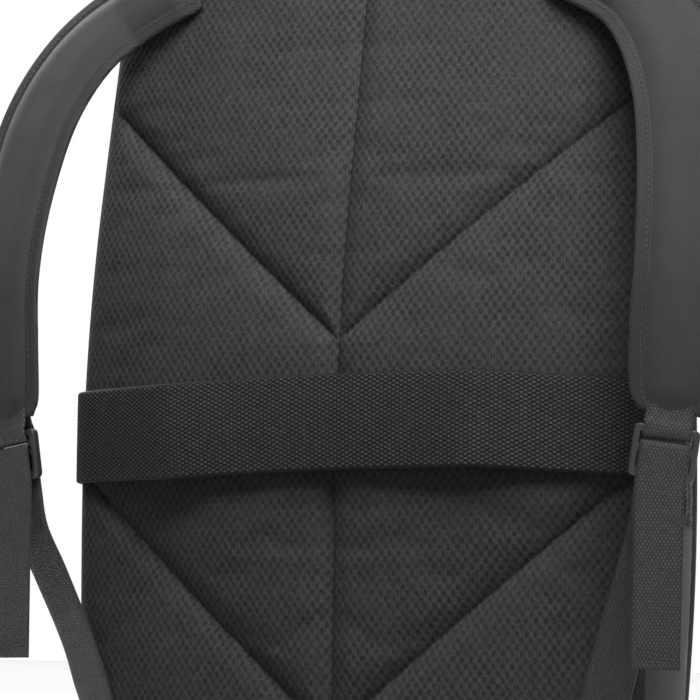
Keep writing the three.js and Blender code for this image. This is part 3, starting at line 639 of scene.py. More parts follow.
def seam_distance(x, z):
    d = np.abs(x)
    for apex in (QUILT_APEX - QUILT_PITCH, QUILT_APEX):
        d = np.minimum(d, np.abs(z - apex - QUILT_SLOPE * np.abs(x)) / math.hypot(1, QUILT_SLOPE))
    return d


def edge_distance(x, z):
    return np.minimum(np.minimum(half_width(z) - np.abs(x), z), H - z)


def pad_edge(d):
    q = np.clip(1 - d / 15.0, 0, 1)
    return 6.6 * (1 - np.sqrt(np.maximum(0, 1 - 0.985 * q * q)))


def swell():
    """How far each place of the sewn sheet stands up between its seams: cloth blown against its pinned seams."""
    xs = np.linspace(-1, 1, 61)
    zs = np.linspace(3, H - 3, 93)
    z = zs[:, None] * np.ones_like(xs)[None]
    x = xs[None] * (half_width(zs)[:, None] - 1)
    d = np.minimum(seam_distance(x, z), edge_distance(x, z) * 0.9)
    flat = np.stack([x, back_y(x, z), z], -1)
    rows, cols = x.shape
    faces = [(k * cols + i, k * cols + i + 1, (k + 1) * cols + i + 1, (k + 1) * cols + i) for k in range(rows - 1) for i in range(cols - 1)]
    ob = make("swell_trial", flat, faces, [])
    me = ob.data
    if me.polygons[0].normal.y > 0:
        me.flip_normals()
    pin = ob.vertex_groups.new(name="pin")
    w = np.exp(-((d.reshape(-1) / 3.2) ** 2))
    rim = np.zeros_like(x, bool)
    rim[0] = rim[-1] = True
    rim[:, 0] = rim[:, -1] = True
    w[rim.reshape(-1)] = 1.0
    for i, v in enumerate(w):
        if v > 0.03:
            pin.add([i], float(v), "REPLACE")
    mod = ob.modifiers.new("Cloth", "CLOTH")
    st = mod.settings
    st.quality = 7
    st.mass = 0.25
    st.tension_stiffness = st.compression_stiffness = 12
    st.shear_stiffness = 4
    st.bending_stiffness = 0.6
    st.air_damping = 3
    st.vertex_group_mass = "pin"
    st.pin_stiffness = 1.0
    st.shrink_min = -0.012
    st.use_pressure = True
    st.uniform_pressure_force = 4.0
    st.effector_weights.gravity = 0.0
    mod.collision_settings.use_collision = False
    mod.collision_settings.use_self_collision = False
    mod.point_cache.frame_start, mod.point_cache.frame_end = 1, 22
    for f in range(1, 23):
        scene.frame_set(f)
    ev = ob.evaluated_get(bpy.context.evaluated_depsgraph_get())
    got = ev.to_mesh()
    co = np.empty(len(got.vertices) * 3, np.float32)
    got.vertices.foreach_get("co", co)
    ev.to_mesh_clear()
    co = co.reshape(rows, cols, 3) * 1000.0
    up = (flat[..., 1] + SHIFT_Y) - co[..., 1]
    scene.frame_set(1)
    bpy.data.objects.remove(ob)
    bpy.data.meshes.remove(me)
    top = np.percentile(up, 97)
    print("swell: 97th percentile %.2f mm, range %.2f to %.2f" % (top, up.min(), up.max()))
    # The filling holds the cloth: it stands at most 6 mm up.
    up = np.clip(up, -1.0, 6.0)
    return zs, xs, up


def bilinear(zs, s, field, z, q):
    iz = np.clip(np.searchsorted(zs, z) - 1, 0, len(zs) - 2)
    ix = np.clip(np.searchsorted(s, q) - 1, 0, len(s) - 2)
    tz = np.clip((z - zs[iz]) / (zs[iz + 1] - zs[iz]), 0, 1)
    tx = np.clip((q - s[ix]) / (s[ix + 1] - s[ix]), 0, 1)
    return (field[iz, ix] * (1 - tz) * (1 - tx) + field[iz + 1, ix] * tz * (1 - tx) + field[iz, ix + 1] * (1 - tz) * tx + field[iz + 1, ix + 1] * tz * tx)


SWELL = swell()


def pad_outer(x, z):
    """Depth of the pad's face, with its swell, its sewn furrows and its rounded rim."""
    q = np.clip(x / np.maximum(half_width(z), 1), -1, 1)
    d = seam_distance(x, z)
    up = bilinear(SWELL[0], SWELL[1], SWELL[2], z, q)
    gain = 4.2 / max(1e-6, float(np.percentile(SWELL[2], 90)))
    up = np.clip(up * gain, -0.5, 5.5)
    rim = smoothstep(0, 22, edge_distance(x, z))
    # Each flank falls over 13 mm to a small rounded bottom.
    soft = np.sqrt(d * d + 0.3) - 0.55
    furrow = 0.60 * np.clip(13.0 - soft, 0, None) ** 2 / 26.0 + 0.75 * np.exp(-((d / 1.3) ** 2))
    y = back_y(x, z) + pad_edge(edge_distance(x, z))
    y = y + 2.6 - up * rim * 0.85 + furrow * (0.35 + 0.65 * rim)
    p = np.stack([x, np.zeros_like(x), z], -1)
    # Small puckers along the sewn lines and a slow unevenness of the foam.
    pucker = noise(p * np.array([1, 1, 1.0]), 7.5, 1.0) * 0.55 * np.exp(-d / 7.0)
    return y + pucker + 0.7 * noise(p, 38.0, 2.0) * rim


def pad_point(x, z, lift):
    """Points a height above the pad's face, and the directions off it."""
    e = 1.5
    gx = (pad_outer(x + e, z) - pad_outer(x - e, z)) / (2 * e)
    gz = (pad_outer(x, z + e) - pad_outer(x, z - e)) / (2 * e)
    n = unit(np.stack([gx, -np.ones_like(x), gz], -1))
    return np.stack([x, pad_outer(x, z), z], -1) + n * lift, n


def packed(n, length, fine, coarse, both=True):
    """Shares from 0 to 1 along a length: steps start fine at the sewn end (or ends) and grow to coarse."""
    t = np.linspace(0, 1, 2001)
    gap = np.minimum(t, 1 - t) * length if both else t * length
    density = 1 / (fine + (coarse - fine) * smoothstep(0, 9, gap))
    c = np.r_[0, np.cumsum((density[1:] + density[:-1]) / 2)]
    return np.interp(np.linspace(0, c[-1], n + 1), c, t)


def pad_grid():
    """x and z of the pad's grid. Its rows run along the chevron seams and its middle column along the upright one."""
    half = packed(94, 160.0, 0.5, 1.9, both=False)
    s = np.concatenate([-half[::-1], half[1:]])
    low, high = QUILT_APEX - QUILT_PITCH, QUILT_APEX
    # Each row is a place between two lines: the base, the lower chevron, the upper chevron and the top.
    rows = [(0, t) for t in 1 - packed(64, 90.0, 0.5, 2.0, both=False)[::-1]]
    rows += [(1, t) for t in packed(104, 158.0, 0.5, 2.0)[1:]]
    rows += [(2, t) for t in packed(96, 150.0, 0.5, 2.0, both=False)[1:]]
    # The corners need close rows at the very base and the very top.
    rows = [r for r in rows if not (r[0] == 0 and 0 < r[1] < 0.02)]
    extra = [(0, t) for t in (0.0008, 0.003, 0.0065, 0.0115, 0.018)] + [(2, 1 - t) for t in (0.0006, 0.002, 0.0045, 0.008)]
    rows = sorted(set(rows + extra))
    band = np.array([r[0] for r in rows])[:, None]
    t = np.array([r[1] for r in rows])[:, None]
    x = s[None] * half_width(np.full((len(rows), 1), 200.0))
    for _ in range(60):
        rise = QUILT_SLOPE * np.abs(x)
        z = np.where(band == 0, t * (low + rise), np.where(band == 1, low + rise + t * (high - low), high + rise + t * (H - high - rise)))
        x = 0.5 * x + 0.5 * s[None] * half_width(z)
    return x, z


def back_pad():
    x, z = pad_grid()
    y = pad_outer(x, z)
    rows, cols = x.shape
    p = np.stack([x, y, z], -1)
    # The knit lies evenly over the crowned form.
    fine = np.linspace(-170, 170, 3401)
    arc = np.r_[0, np.cumsum(np.hypot(np.diff(fine), np.diff(CROWN * (fine / CROWN_AT) ** 2)))]
    zz = np.linspace(0, H, 2001)
    rise = np.r_[0, np.cumsum(np.hypot(np.diff(zz), np.diff(lean(zz))))]
    uv = np.stack([np.interp(x, fine, arc) - np.interp(0, fine, arc), np.interp(z, zz, rise)], -1)
    pts, uvs = p.reshape(-1, 3), uv.reshape(-1, 2)
    faces = [(k * cols + i, k * cols + i + 1, (k + 1) * cols + i + 1, (k + 1) * cols + i) for k in range(rows - 1) for i in range(cols - 1)]
    # The rim goes back to the seam, and a plain inner face closes the pad.
    loop = [(0, i) for i in range(cols)] + [(k, cols - 1) for k in range(1, rows)] + [(rows - 1, i) for i in range(cols - 2, -1, -1)] + [(k, 0) for k in range(rows - 2, 0, -1)]
    ids = [k * cols + i for k, i in loop]
    ring = pts[ids]
    deep = back_y(ring[:, 0], ring[:, 2]) + PAD
    mid = np.array([0.0, 0.0, H * 0.5])
    layers = []
    for share, pull in ((0.5, -0.5), (1.0, 0.5)):
        r = ring.copy()
        r[:, 1] = ring[:, 1] + (deep - ring[:, 1]) * share
        out = unit((ring - mid) * np.array([1, 0, 1]))
        r -= out * pull
        layers.append(r)
    inside = ring.copy()
    inside[:, [0, 2]] = mid[[0, 2]] + (ring[:, [0, 2]] - mid[[0, 2]]) * 0.55
    inside[:, 1] = back_y(inside[:, 0], inside[:, 2]) + PAD
    layers.append(inside)
    base = len(pts)
    n = len(ids)
    pts = np.concatenate([pts, *layers, [[0, back_y(0, H / 2) + PAD, H / 2]]])
    uvs = np.concatenate([uvs] + [uvs[ids]] * 3 + [[[0, 0]]])
    prev = ids
    for li in range(3):
        cur = [base + li * n + j for j in range(n)]
        for j in range(n):
            faces.append((prev[j], cur[j], cur[(j + 1) % n], prev[(j + 1) % n]))
        prev = cur
    for j in range(n):
        faces.append((prev[j], len(pts) - 1, prev[(j + 1) % n]))
    ob = make("back_pad", pts, faces, [M_MESH], uvs)
    outward(ob)
    return ob


pad = back_pad()
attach(pad, "root")
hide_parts("back_panel")

# ------------------------------------------------------------------ the luggage strap


def strap_grid(step_s, columns):
    rows, s = resample([(x, y, dz) for x, y, dz in STRAP_ROWS], step_s)
    t = unit(np.gradient(rows[:, :2], axis=0))
    nrm = np.stack([t[:, 1], -t[:, 0], np.zeros(len(t))], 1)
    w = np.linspace(0, STRAP_W, columns)
    p = np.zeros((len(rows), columns, 3))
    p[..., 0] = rows[:, None, 0]
    p[..., 1] = rows[:, None, 1]
    p[..., 2] = STRAP_Z + rows[:, None, 2] + w[None] - STRAP_W / 2
    n = np.repeat(nrm[:, None], columns, 1)
    return p, n, s, w


def luggage_strap():
    p, n, s, w = strap_grid(0.52, 97)
    S, W = np.meshgrid(s, w, indexing="ij")
    f = np.cos(math.pi * S / 2.2) * np.cos(TAU * W / 2.3)
    f = f - 0.5 * (1 - np.abs(np.cos(math.pi * S / 2.2)))
    nub = smoothstep(-0.85, 0.8, f)
    edge = np.minimum(W, STRAP_W - W)
    selv = 1 - smoothstep(0.3, 0.9, edge)
    lift = 0.42 * nub * (1 - selv) + 0.2 * selv
    lift -= 0.5 * (1 - smoothstep(0.0, 0.9, edge))
    # The band is not quite flat: slow waves, and a light curl at its edges.
    q = np.stack([S, W, np.zeros_like(S)], -1)
    ends = smoothstep(0, 30, np.minimum(S, s[-1] - S))
    wave = 0.9 * noise(q * np.array([1, 0.6, 1]), 46.0, 3.0) * ends + 0.25 * noise(q, 17.0, 4.0) * ends
    curl = 0.5 * (np.abs(W - STRAP_W / 2) / (STRAP_W / 2)) ** 3 * ends
    # Its lower half leans in, most where it spans from the left bend to the middle.
    bow = 3.4 * (1 - W / STRAP_W) ** 2 * ends * np.interp(p[..., 0], [-150, -100, -20, 70, 100], [0.3, 1.0, 1.0, 0.45, 0.15])
    outer = p + n * (STRAP_T - 0.25 + lift + wave - curl - bow)[..., None]
    outer[..., 2] += 0.5 * noise(np.stack([S, np.zeros_like(S), np.zeros_like(S)], -1), 60.0, 6.0) * ends
    uv = np.stack([S, W], -1)
    ob = cloth_wall("luggage_web", outer, n, STRAP_T - 0.2, uv, [M_STRAP], inner_cols=[0, 24, 48, 72, 96])
    return ob, s[-1]


strap, STRAP_LEN = luggage_strap()
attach(strap, "root")
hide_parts("luggage_strap")

# ------------------------------------------------------------------ the bag's cloth


def gusset_grid(which, lo, hi, step, columns, sink=0.0):
    """A strip of the gusset as a grid: lo and hi turn the two seam depths into the strip's edges."""
    x, z, nx, nz, s = outline(which, step)
    y0, y1 = rear_seam(x, z), front_seam(x, z)
    ya, yb = lo(y0, y1), hi(y0, y1)
    bulge = np.where(nz < 0, SIDE_BULGE * (1 + nz), SIDE_BULGE + (TOP_BULGE - SIDE_BULGE) * nz)
    q = np.linspace(0, 1, columns)
    y = ya[:, None] + (yb - ya)[:, None] * q[None]
    off = bulge[:, None] * np.sin(np.pi * np.clip((y - y0[:, None]) / (y1 - y0)[:, None], 0, 1)) - sink
    p = np.stack([x[:, None] + nx[:, None] * off, y, z[:, None] + nz[:, None] * off], -1)
    n = np.repeat(np.stack([nx, np.zeros_like(nx), nz], 1)[:, None], columns, 1)
    across = np.linalg.norm(np.diff(p, axis=1), axis=2)
    v = np.concatenate([np.zeros((len(x), 1)), np.cumsum(across, 1)], 1)
    uv = np.stack([np.repeat(s[:, None], columns, 1), v], -1)
    return p, n, uv, s


def rumple(p, n, uv, amount=1.0, seed=0.0, edges=True, floor_keep=True):
    """Soft unevenness of sewn cloth: slow dents, a few creases, and puckers at the seams."""
    slow = 1.9 * noise(p, 95.0, 1.0 + seed) + 0.9 * noise(p, 42.0, 2.0 + seed)
    ridged = 1 - np.abs(noise(p * np.array([1.0, 0.55, 1.0]), 30.0, 3.0 + seed)) * 2.2
    crease = 0.55 * np.clip(ridged - 0.55, 0, 1) ** 2 * 4
    d = (slow + crease) * amount
    if edges:
        v = uv[..., 1]
        width = v[:, -1:]
        gap = np.minimum(v, width - v)
        keep = smoothstep(0.0, 14.0, gap)
        s = uv[..., 0]
        pucker = 0.42 * np.sin(s / 11.0 * TAU + 5 * noise(p, 60.0, 5.0 + seed)) * np.exp(-gap / 5.5)
        roll = -0.9 * np.exp(-gap / 1.6)
        d = d * keep + pucker * (1 - np.exp(-gap / 1.2)) + roll
    if floor_keep:
        d = d * np.where(n[..., 2] < -0.3, np.clip(1 + (n[..., 2] + 0.3) / 0.5, 0, 1), 1)
    return p + n * d[..., None]


def zip_line(a, b):
    return a + (b - a) * ZIP_AT


def gusset_piece(name, node, which, lo, hi, columns, seed):
    p, n, uv, s = gusset_grid(which, lo, hi, 3.6, columns)
    q = rumple(p, n, uv, 0.9, seed)
    ob = cloth_wall(name, q, n, CLOTH - 0.3, uv, [M_CLOTH])
    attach(ob, "root")
    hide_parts(node)
    area = float(np.linalg.norm(np.cross(np.diff(p[:, :-1], axis=0), np.diff(p[:-1], axis=1)), axis=2).sum()) / 1e6
    wide = float(uv[:, -1, 1].max()) / 1000
    long = float(s[-1]) / 1000
    return ob, (wide, long, area)


FLAT = {}
rear, FLAT["gusset_rear"] = gusset_piece("gusset_rear_cloth", "gusset_rear", "upper", lambda a, b: a, lambda a, b: zip_line(a, b) - ZIP_W / 2 - 0.3, 15, 0.3)
fore, FLAT["gusset_front"] = gusset_piece("gusset_front_cloth", "gusset_front", "upper", lambda a, b: zip_line(a, b) + ZIP_W / 2 + 0.3, lambda a, b: b, 13, 1.1)
base, FLAT["base_gusset"] = gusset_piece("base_cloth", "base_gusset", "lower", lambda a, b: a, lambda a, b: b, 34, 2.2)


def front_cloth():
    x, z, nx, nz, s = outline("all", 4.2)
    cx, cz = 0.0, H * 0.5
    insets = EDGE_R * (1 - np.cos(np.linspace(0, math.pi / 2, 9)))
    shares = np.linspace(1, 0, 34)[1:-1] ** 0.9
    cols, norms, uvs = [], [], []
    for d in insets:
        px, pz = x - nx * d, z - nz * d
        co = (EDGE_R - d) / EDGE_R
        si = math.sqrt(max(0, 1 - co * co))
        cols.append(np.stack([px, front_y(px, pz) - EDGE_R + EDGE_R * si + (0.3 if d == 0 else 0), pz], 1))
        norms.append(np.stack([nx * co, np.full_like(nx, si), nz * co], 1))
    last = cols[-1]
    for q in shares:
        px, pz = cx + (last[:, 0] - cx) * q, cz + (last[:, 2] - cz) * q
        cols.append(np.stack([px, front_y(px, pz), pz], 1))
        norms.append(np.tile([0.0, 1.0, 0.0], (len(x), 1)))
    p = np.stack(cols, 1)
    n = np.stack(norms, 1)
    across = np.linalg.norm(np.diff(p, axis=1), axis=2)
    v = np.concatenate([np.zeros((len(x), 1)), np.cumsum(across, 1)], 1)
    # Unevenness: slow dents over the face and puckers along the edge seam.
    def dent(c):
        fold = np.clip(1 - np.abs(noise(c * np.array([0.5, 1.0, 0.9]), 70.0, 6.0)) / 0.22, 0, 1)
        some = smoothstep(-0.35, 0.25, noise(c, 150.0, 9.0))
        return 6.5 * noise(c, 125.0, 4.0) + 3.2 * noise(c * np.array([0.75, 1.0, 1.0]), 60.0, 5.0) + 2.4 * fold * fold * (3 - 2 * fold) * some

    d = dent(p) * smoothstep(2, 40, v)
    pucker = 0.45 * np.sin(s[:, None] / 12.0 * TAU + 5 * noise(p, 70.0, 7.0)) * np.exp(-np.abs(v - 4) / 6.0) * smoothstep(0, 2, v)
    d = (d + pucker - 0.8 * np.exp(-v / 1.6)) * np.where(n[..., 2] < -0.2, 0.0, 1.0)
    q = p + n * d[..., None]
    rows, m = q.shape[:2]
    inner = q - n * (CLOTH - 0.3)
    hub = np.array([[cx, float(front_y(cx, cz)), cz]])
    hub[:, 1] += dent(hub)
    pts = np.concatenate([q.reshape(-1, 3), inner.reshape(-1, 3), hub, hub - np.array([[0.0, CLOTH - 0.3, 0.0]])])
    uv = np.stack([q[..., 0], q[..., 2]], -1).reshape(-1, 2)
    uv = np.concatenate([uv, uv, [[cx, cz], [cx, cz]]])
    faces = []
    b = rows * m
    for k in range(rows):
        k2 = (k + 1) % rows
        for i in range(m - 1):
            faces.append((k * m + i, k * m + i + 1, k2 * m + i + 1, k2 * m + i))
            faces.append((b + k * m + i, b + k2 * m + i, b + k2 * m + i + 1, b + k * m + i + 1))
        faces.append((k * m + m - 1, 2 * b, k2 * m + m - 1))
        faces.append((b + k * m + m - 1, b + k2 * m + m - 1, 2 * b + 1))
        faces.append((k * m, k2 * m, b + k2 * m, b + k * m))
    ob = make("front_cloth", pts, faces, [M_CLOTH], uv)
    bm = bmesh.new()
    bm.from_mesh(ob.data)
    bmesh.ops.recalc_face_normals(bm, faces=bm.faces[:])
    bm.to_mesh(ob.data)
    bm.free()
    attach(ob, "root")
    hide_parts("front_panel")
    area = float(np.linalg.norm(np.cross(np.diff(p[:, :-1], axis=0), np.diff(p[:-1], axis=1)), axis=2).sum()) / 1e6
    FLAT["front_panel"] = (0.350, 0.524, area)
    # The row of stitches that holds the edge seam flat.
    line = q[:, 4] + n[:, 4] * 0.1
    return ob, (np.concatenate([line, line[:1]]), np.concatenate([n[:, 4], n[:1, 4]]))


front, FRONT_STITCH = front_cloth()


def piping(name, depth, radius, out):
    x, z, nx, nz, s = outline("all", 4.0)
    y = depth(x, z)
    z2 = np.maximum(z + nz * out, radius * 0.98)
    ob = tube(name, np.stack([x + nx * out, y, z2], 1), radius, [M_BIND], 8)
    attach(ob, "root")
    return ob


pipe_rear = piping("rear_seam_piping", lambda x, z: rear_seam(x, z) - 0.2, 2.1, 0.2)
pipe_front = piping("front_seam_piping", lambda x, z: front_seam(x, z) + 0.1, 2.1, 0.2)

# ------------------------------------------------------------------ the main zip


def main_zip():
    lo = lambda a, b: zip_line(a, b) - ZIP_W / 2 + 0.2
    hi = lambda a, b: zip_line(a, b) + ZIP_W / 2 - 0.2
    p, n, uv, s = gusset_grid("upper", lo, hi, 3.2, 13, sink=0.9)
    across = np.linspace(-1, 1, 13)
    p = p + n * (0.35 * np.exp(-((across / 0.35) ** 2)))[None, :, None]
    tape = cloth_wall("zip_tape", p, n, 1.0, uv, [M_TAPE])
    # The coil: two rows of nylon loops that meet along the middle.
    x, z, nx, nz, s2 = outline("upper", 1.0)
    mid, nn, _, _ = gusset_grid("upper", lo, hi, 1.0, 3, sink=0.9)
    c, nrm = mid[:, 1], nn[:, 1]
    side = unit(mid[:, 2] - mid[:, 0])
    t = unit(np.gradient(c, axis=0))
    run = np.r_[0, np.cumsum(np.linalg.norm(np.diff(c, axis=0), axis=1))]
    pts, faces = [], []
    prof = [(0.0, 0.45, 0.0), (0.12, 0.9, 0.18), (0.5, 1.0, 0.42), (0.88, 0.95, 0.3), (1.0, 0.5, 0.12)]
    for j, at in enumerate(np.arange(6.0, run[-1] - 6.0, 1.25)):
        flip = 1 if j % 2 else -1
        i = int(np.searchsorted(run, at))
        o, e, u, w = c[i], t[i], nrm[i], side[i] * flip
        b = len(pts)
        for q, r, h in prof:
            at_p = o + e * (at - run[i]) + w * (-0.7 + 3.5 * q) + u * (0.35 + 0.9 * h)
            for k in range(6):
                a = TAU * k / 6
                pts.append(at_p + e * 0.58 * r * math.cos(a) + u * 0.62 * r * math.sin(a))
        for k in range(len(prof) - 1):
            for m in range(6):
                faces.append((b + k * 6 + m, b + k * 6 + (m + 1) % 6, b + (k + 1) * 6 + (m + 1) % 6, b + (k + 1) * 6 + m))
        faces.append(tuple(b + m for m in range(6)))
        faces.append(tuple(b + (len(prof) - 1) * 6 + m for m in range(6))[::-1])
    coil = make("zip_coil", np.array(pts), faces, [M_COIL])
    bm = bmesh.new()
    bm.from_mesh(coil.data)
    bmesh.ops.recalc_face_normals(bm, faces=bm.faces[:])
    bm.to_mesh(coil.data)
    bm.free()
    for ob in (tape, coil):
        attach(ob, "root")
    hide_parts("main_zip")
    return tape, coil, float(s[-1]) / 1000


tape, coil, ZIP_LEN = main_zip()


def zip_stitches():
    lines = []
    for frac, lo, hi in (
        (0.93, lambda a, b: a, lambda a, b: zip_line(a, b) - ZIP_W / 2 - 0.3),
        (0.10, lambda a, b: zip_line(a, b) + ZIP_W / 2 + 0.3, lambda a, b: b),
    ):
        p, n, uv, s = gusset_grid("upper", lo, hi, 3.6, 15)
        w = uv[:, -1, 1]
        gap = 3.2
        pos = []
        for k in range(len(p)):
            at = (w[k] - gap) if frac > 0.5 else gap
            pos.append([np.interp(at, uv[k, :, 1], p[k, :, c]) for c in range(3)])
        pos = np.array(pos)
        lines.append((pos + n[:, 7] * 0.15, n[:, 7]))
    return lines


thread_lines = zip_stitches() + [FRONT_STITCH]
sewn = stitches("edge_stitches", thread_lines, M_THREAD)
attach(sewn, "root")


# ------------------------------------------------------------------ small hard pieces
def bevelled(ob, width, segments=2, angle=35):
    m = ob.modifiers.new("Bevel", "BEVEL")
    m.width = width
    m.segments = segments
    m.limit_method = "ANGLE"
    m.angle_limit = math.radians(angle)
    return ob


def prism(outline_pts, holes, z0, z1, name, mat, bevel, to_world):
    """A flat form with holes, raised from z0 to z1, its edges rounded; to_world turns its own frame into the sewing frame."""
    cu = bpy.data.curves.new(name, "CURVE")
    cu.dimensions = "2D"
    cu.fill_mode = "BOTH"
    cu.extrude = (z1 - z0) / 2 - bevel
    cu.bevel_depth = bevel
    cu.bevel_resolution = 2
    cu.offset = -bevel
    for ring in [outline_pts, *holes]:
        sp = cu.splines.new("POLY")
        sp.points.add(len(ring) - 1)
        for i, (a, b) in enumerate(ring):
            sp.points[i].co = (a, b, 0, 1)
        sp.use_cyclic_u = True
    tmp = bpy.data.objects.new(name + "_draft", cu)
    scene.collection.objects.link(tmp)
    me = bpy.data.meshes.new_from_object(tmp.evaluated_get(bpy.context.evaluated_depsgraph_get()))
    bpy.data.objects.remove(tmp)
    co = np.empty(len(me.vertices) * 3, np.float32)
    me.vertices.foreach_get("co", co)
    co = co.reshape(-1, 3).astype(float)
    co[:, 2] += (z0 + z1) / 2
    world = place(to_world(co))
    me.vertices.foreach_set("co", world.astype(np.float32).ravel())
    me.materials.clear()
    me.materials.append(mat)
    me.name = name
    bm = bmesh.new()
    bm.from_mesh(me)
    bmesh.ops.remove_doubles(bm, verts=bm.verts[:], dist=1e-6)
    bmesh.ops.recalc_face_normals(bm, faces=bm.faces[:])
    bm.to_mesh(me)
    bm.free()
    for f in me.polygons:
        f.use_smooth = True
    me.update()
    ob = bpy.data.objects.new(name, me)
    scene.collection.objects.link(ob)
    return ob


def round_rect(w, h, r, cx, cy, n=5):
    pts = []
    for sx, sy, a0 in ((1, -1, -90), (1, 1, 0), (-1, 1, 90), (-1, -1, 180)):
        for i in range(n + 1):
            a = math.radians(a0 + 90 * i / n)
            pts.append((cx + sx * (w / 2 - r) + r * math.cos(a), cy + sy * (h / 2 - r) + r * math.sin(a)))
    return pts


def join(name, parts):
    """Several meshes as one object, in place."""
    me = bpy.data.meshes.new(name)
    bm = bmesh.new()
    mats = []
    for o in parts:
        src = o.data
        base = len(bm.faces)
        bm.from_mesh(src)
        bm.faces.ensure_lookup_table()
        for m in src.materials:
            if m not in mats:
                mats.append(m)
        for i in range(base, len(bm.faces)):
            bm.faces[i].material_index = mats.index(src.materials[bm.faces[i].material_index])
    bm.to_mesh(me)
    bm.free()
    for m in mats:
        me.materials.append(m)
    ob = bpy.data.objects.new(name, me)
    scene.collection.objects.link(ob)
    for o in parts:
        d = o.data
        bpy.data.objects.remove(o)
        bpy.data.meshes.remove(d)
    return ob


def slider(side, word):
    y = float(zip_line(rear_seam(0, H), front_seam(0, H)))
    z = H + TOP_BULGE + 0.3
    flat = lambda c: np.stack([c[:, 0], c[:, 1], c[:, 2]], 1)
    cx = side * SLIDER["at"]
    L, W = SLIDER["length"], SLIDER["width"]
    # A slider's plate is wide at its mouth and narrow at its tail.
    shape = [(cx - side * L / 2, y - W * 0.36), (cx - side * L * 0.12, y - W * 0.5), (cx + side * L * 0.34, y - W * 0.42),
             (cx + side * L / 2, y - W * 0.24), (cx + side * L / 2, y + W * 0.24), (cx + side * L * 0.34, y + W * 0.42),
             (cx - side * L * 0.12, y + W * 0.5), (cx - side * L / 2, y + W * 0.36), (cx - side * L * 0.40, y)]
    if side < 0:
        shape = shape[::-1]
    plate = prism(shape, [], z, z + 2.0, "slider_plate", M_METAL, 0.4, flat)
    post = prism(round_rect(8.4, 2.6, 0.9, cx + side * 0.4, y), [], z + 1.8, z + 4.1, "slider_post", M_METAL, 0.6, flat)
    # The pull: a pierced metal tongue with a moulded grip.
    px = cx + side * 3
    tongue = prism(round_rect(17, 5.4, 2.2, px + side * 8.5, y), [round_rect(5.4, 3.0, 1.0, px + side * 4.2, y)[::-1]], z + 1.6, z + 2.9, "slider_tongue", M_METAL, 0.35, flat)
    grip = prism(round_rect(19, 7.0, 2.6, px + side * (SLIDER["pull"] - 9.5), y), [], z + 1.2, z + 3.5, "slider_grip", M_PLASTIC, 0.7, flat)
    ribs = [prism(round_rect(1.0, 4.6, 0.4, px + side * (SLIDER["pull"] - 14 + 3 * i), y), [], z + 3.2, z + 3.8, "slider_rib", M_PLASTIC, 0.2, flat) for i in range(4)]
    ob = join("zip_slider_%s_pull" % word, [plate, post, tongue, grip, *ribs])
    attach(ob, "root")
    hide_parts("zip_slider_" + word)
    return ob


for word, side in (("left", -1), ("right", 1)):
    slider(side, word)

# ------------------------------------------------------------------ shoulder straps, adjusters, webbing


def places(rows, side):
    """Middle, direction, face direction and width direction along a strap over the worn side."""
    rows = np.asarray(rows, float)
    x, z, off, turn = rows[:, 0], rows[:, 1], rows[:, 2], rows[:, -1]
    px = np.minimum(x, SHOULDER_EDGE_X)
    mid = np.stack([side * x, back_y(px, z) - off, z], 1)
    t = unit(np.gradient(mid, axis=0))
    lie = np.clip(1 - (off - 8) / 20, 0, 1)
    fx = side * 2 * CROWN * px / CROWN_AT ** 2
    fz = lean(z + 0.5) + tuck(z + 0.5) - lean(z - 0.5) - tuck(z - 0.5)
    n = np.stack([lie * fx, -np.ones_like(x), lie * fz], 1)
    n = unit(n - t * (n * t).sum(1, keepdims=True))
    b = unit(np.cross(t, n)) * side
    a = np.radians(-side * turn)[:, None]

    def spin(v):
        return v * np.cos(a) + np.cross(t, v) * np.sin(a) + t * (t * v).sum(1, keepdims=True) * (1 - np.cos(a))

    return mid, t, spin(n), spin(b)


def strap_rows():
    xz = np.array([(r[0], 0.0, r[1], r[2], r[3], r[4], r[5]) for r in SHOULDER_ROWS], float)
    got, s = resample(xz, 2.6)
    # Near its sewn end the strap turns in one soft bend.
    near = (1 - smoothstep(80, 130, s))[1:-1, None]
    for _ in range(90):
        flat = got[:, [0, 2]]
        got[1:-1, [0, 2]] = flat[1:-1] + 0.25 * near * (flat[:-2] + flat[2:] - 2 * flat[1:-1])
    return got, s


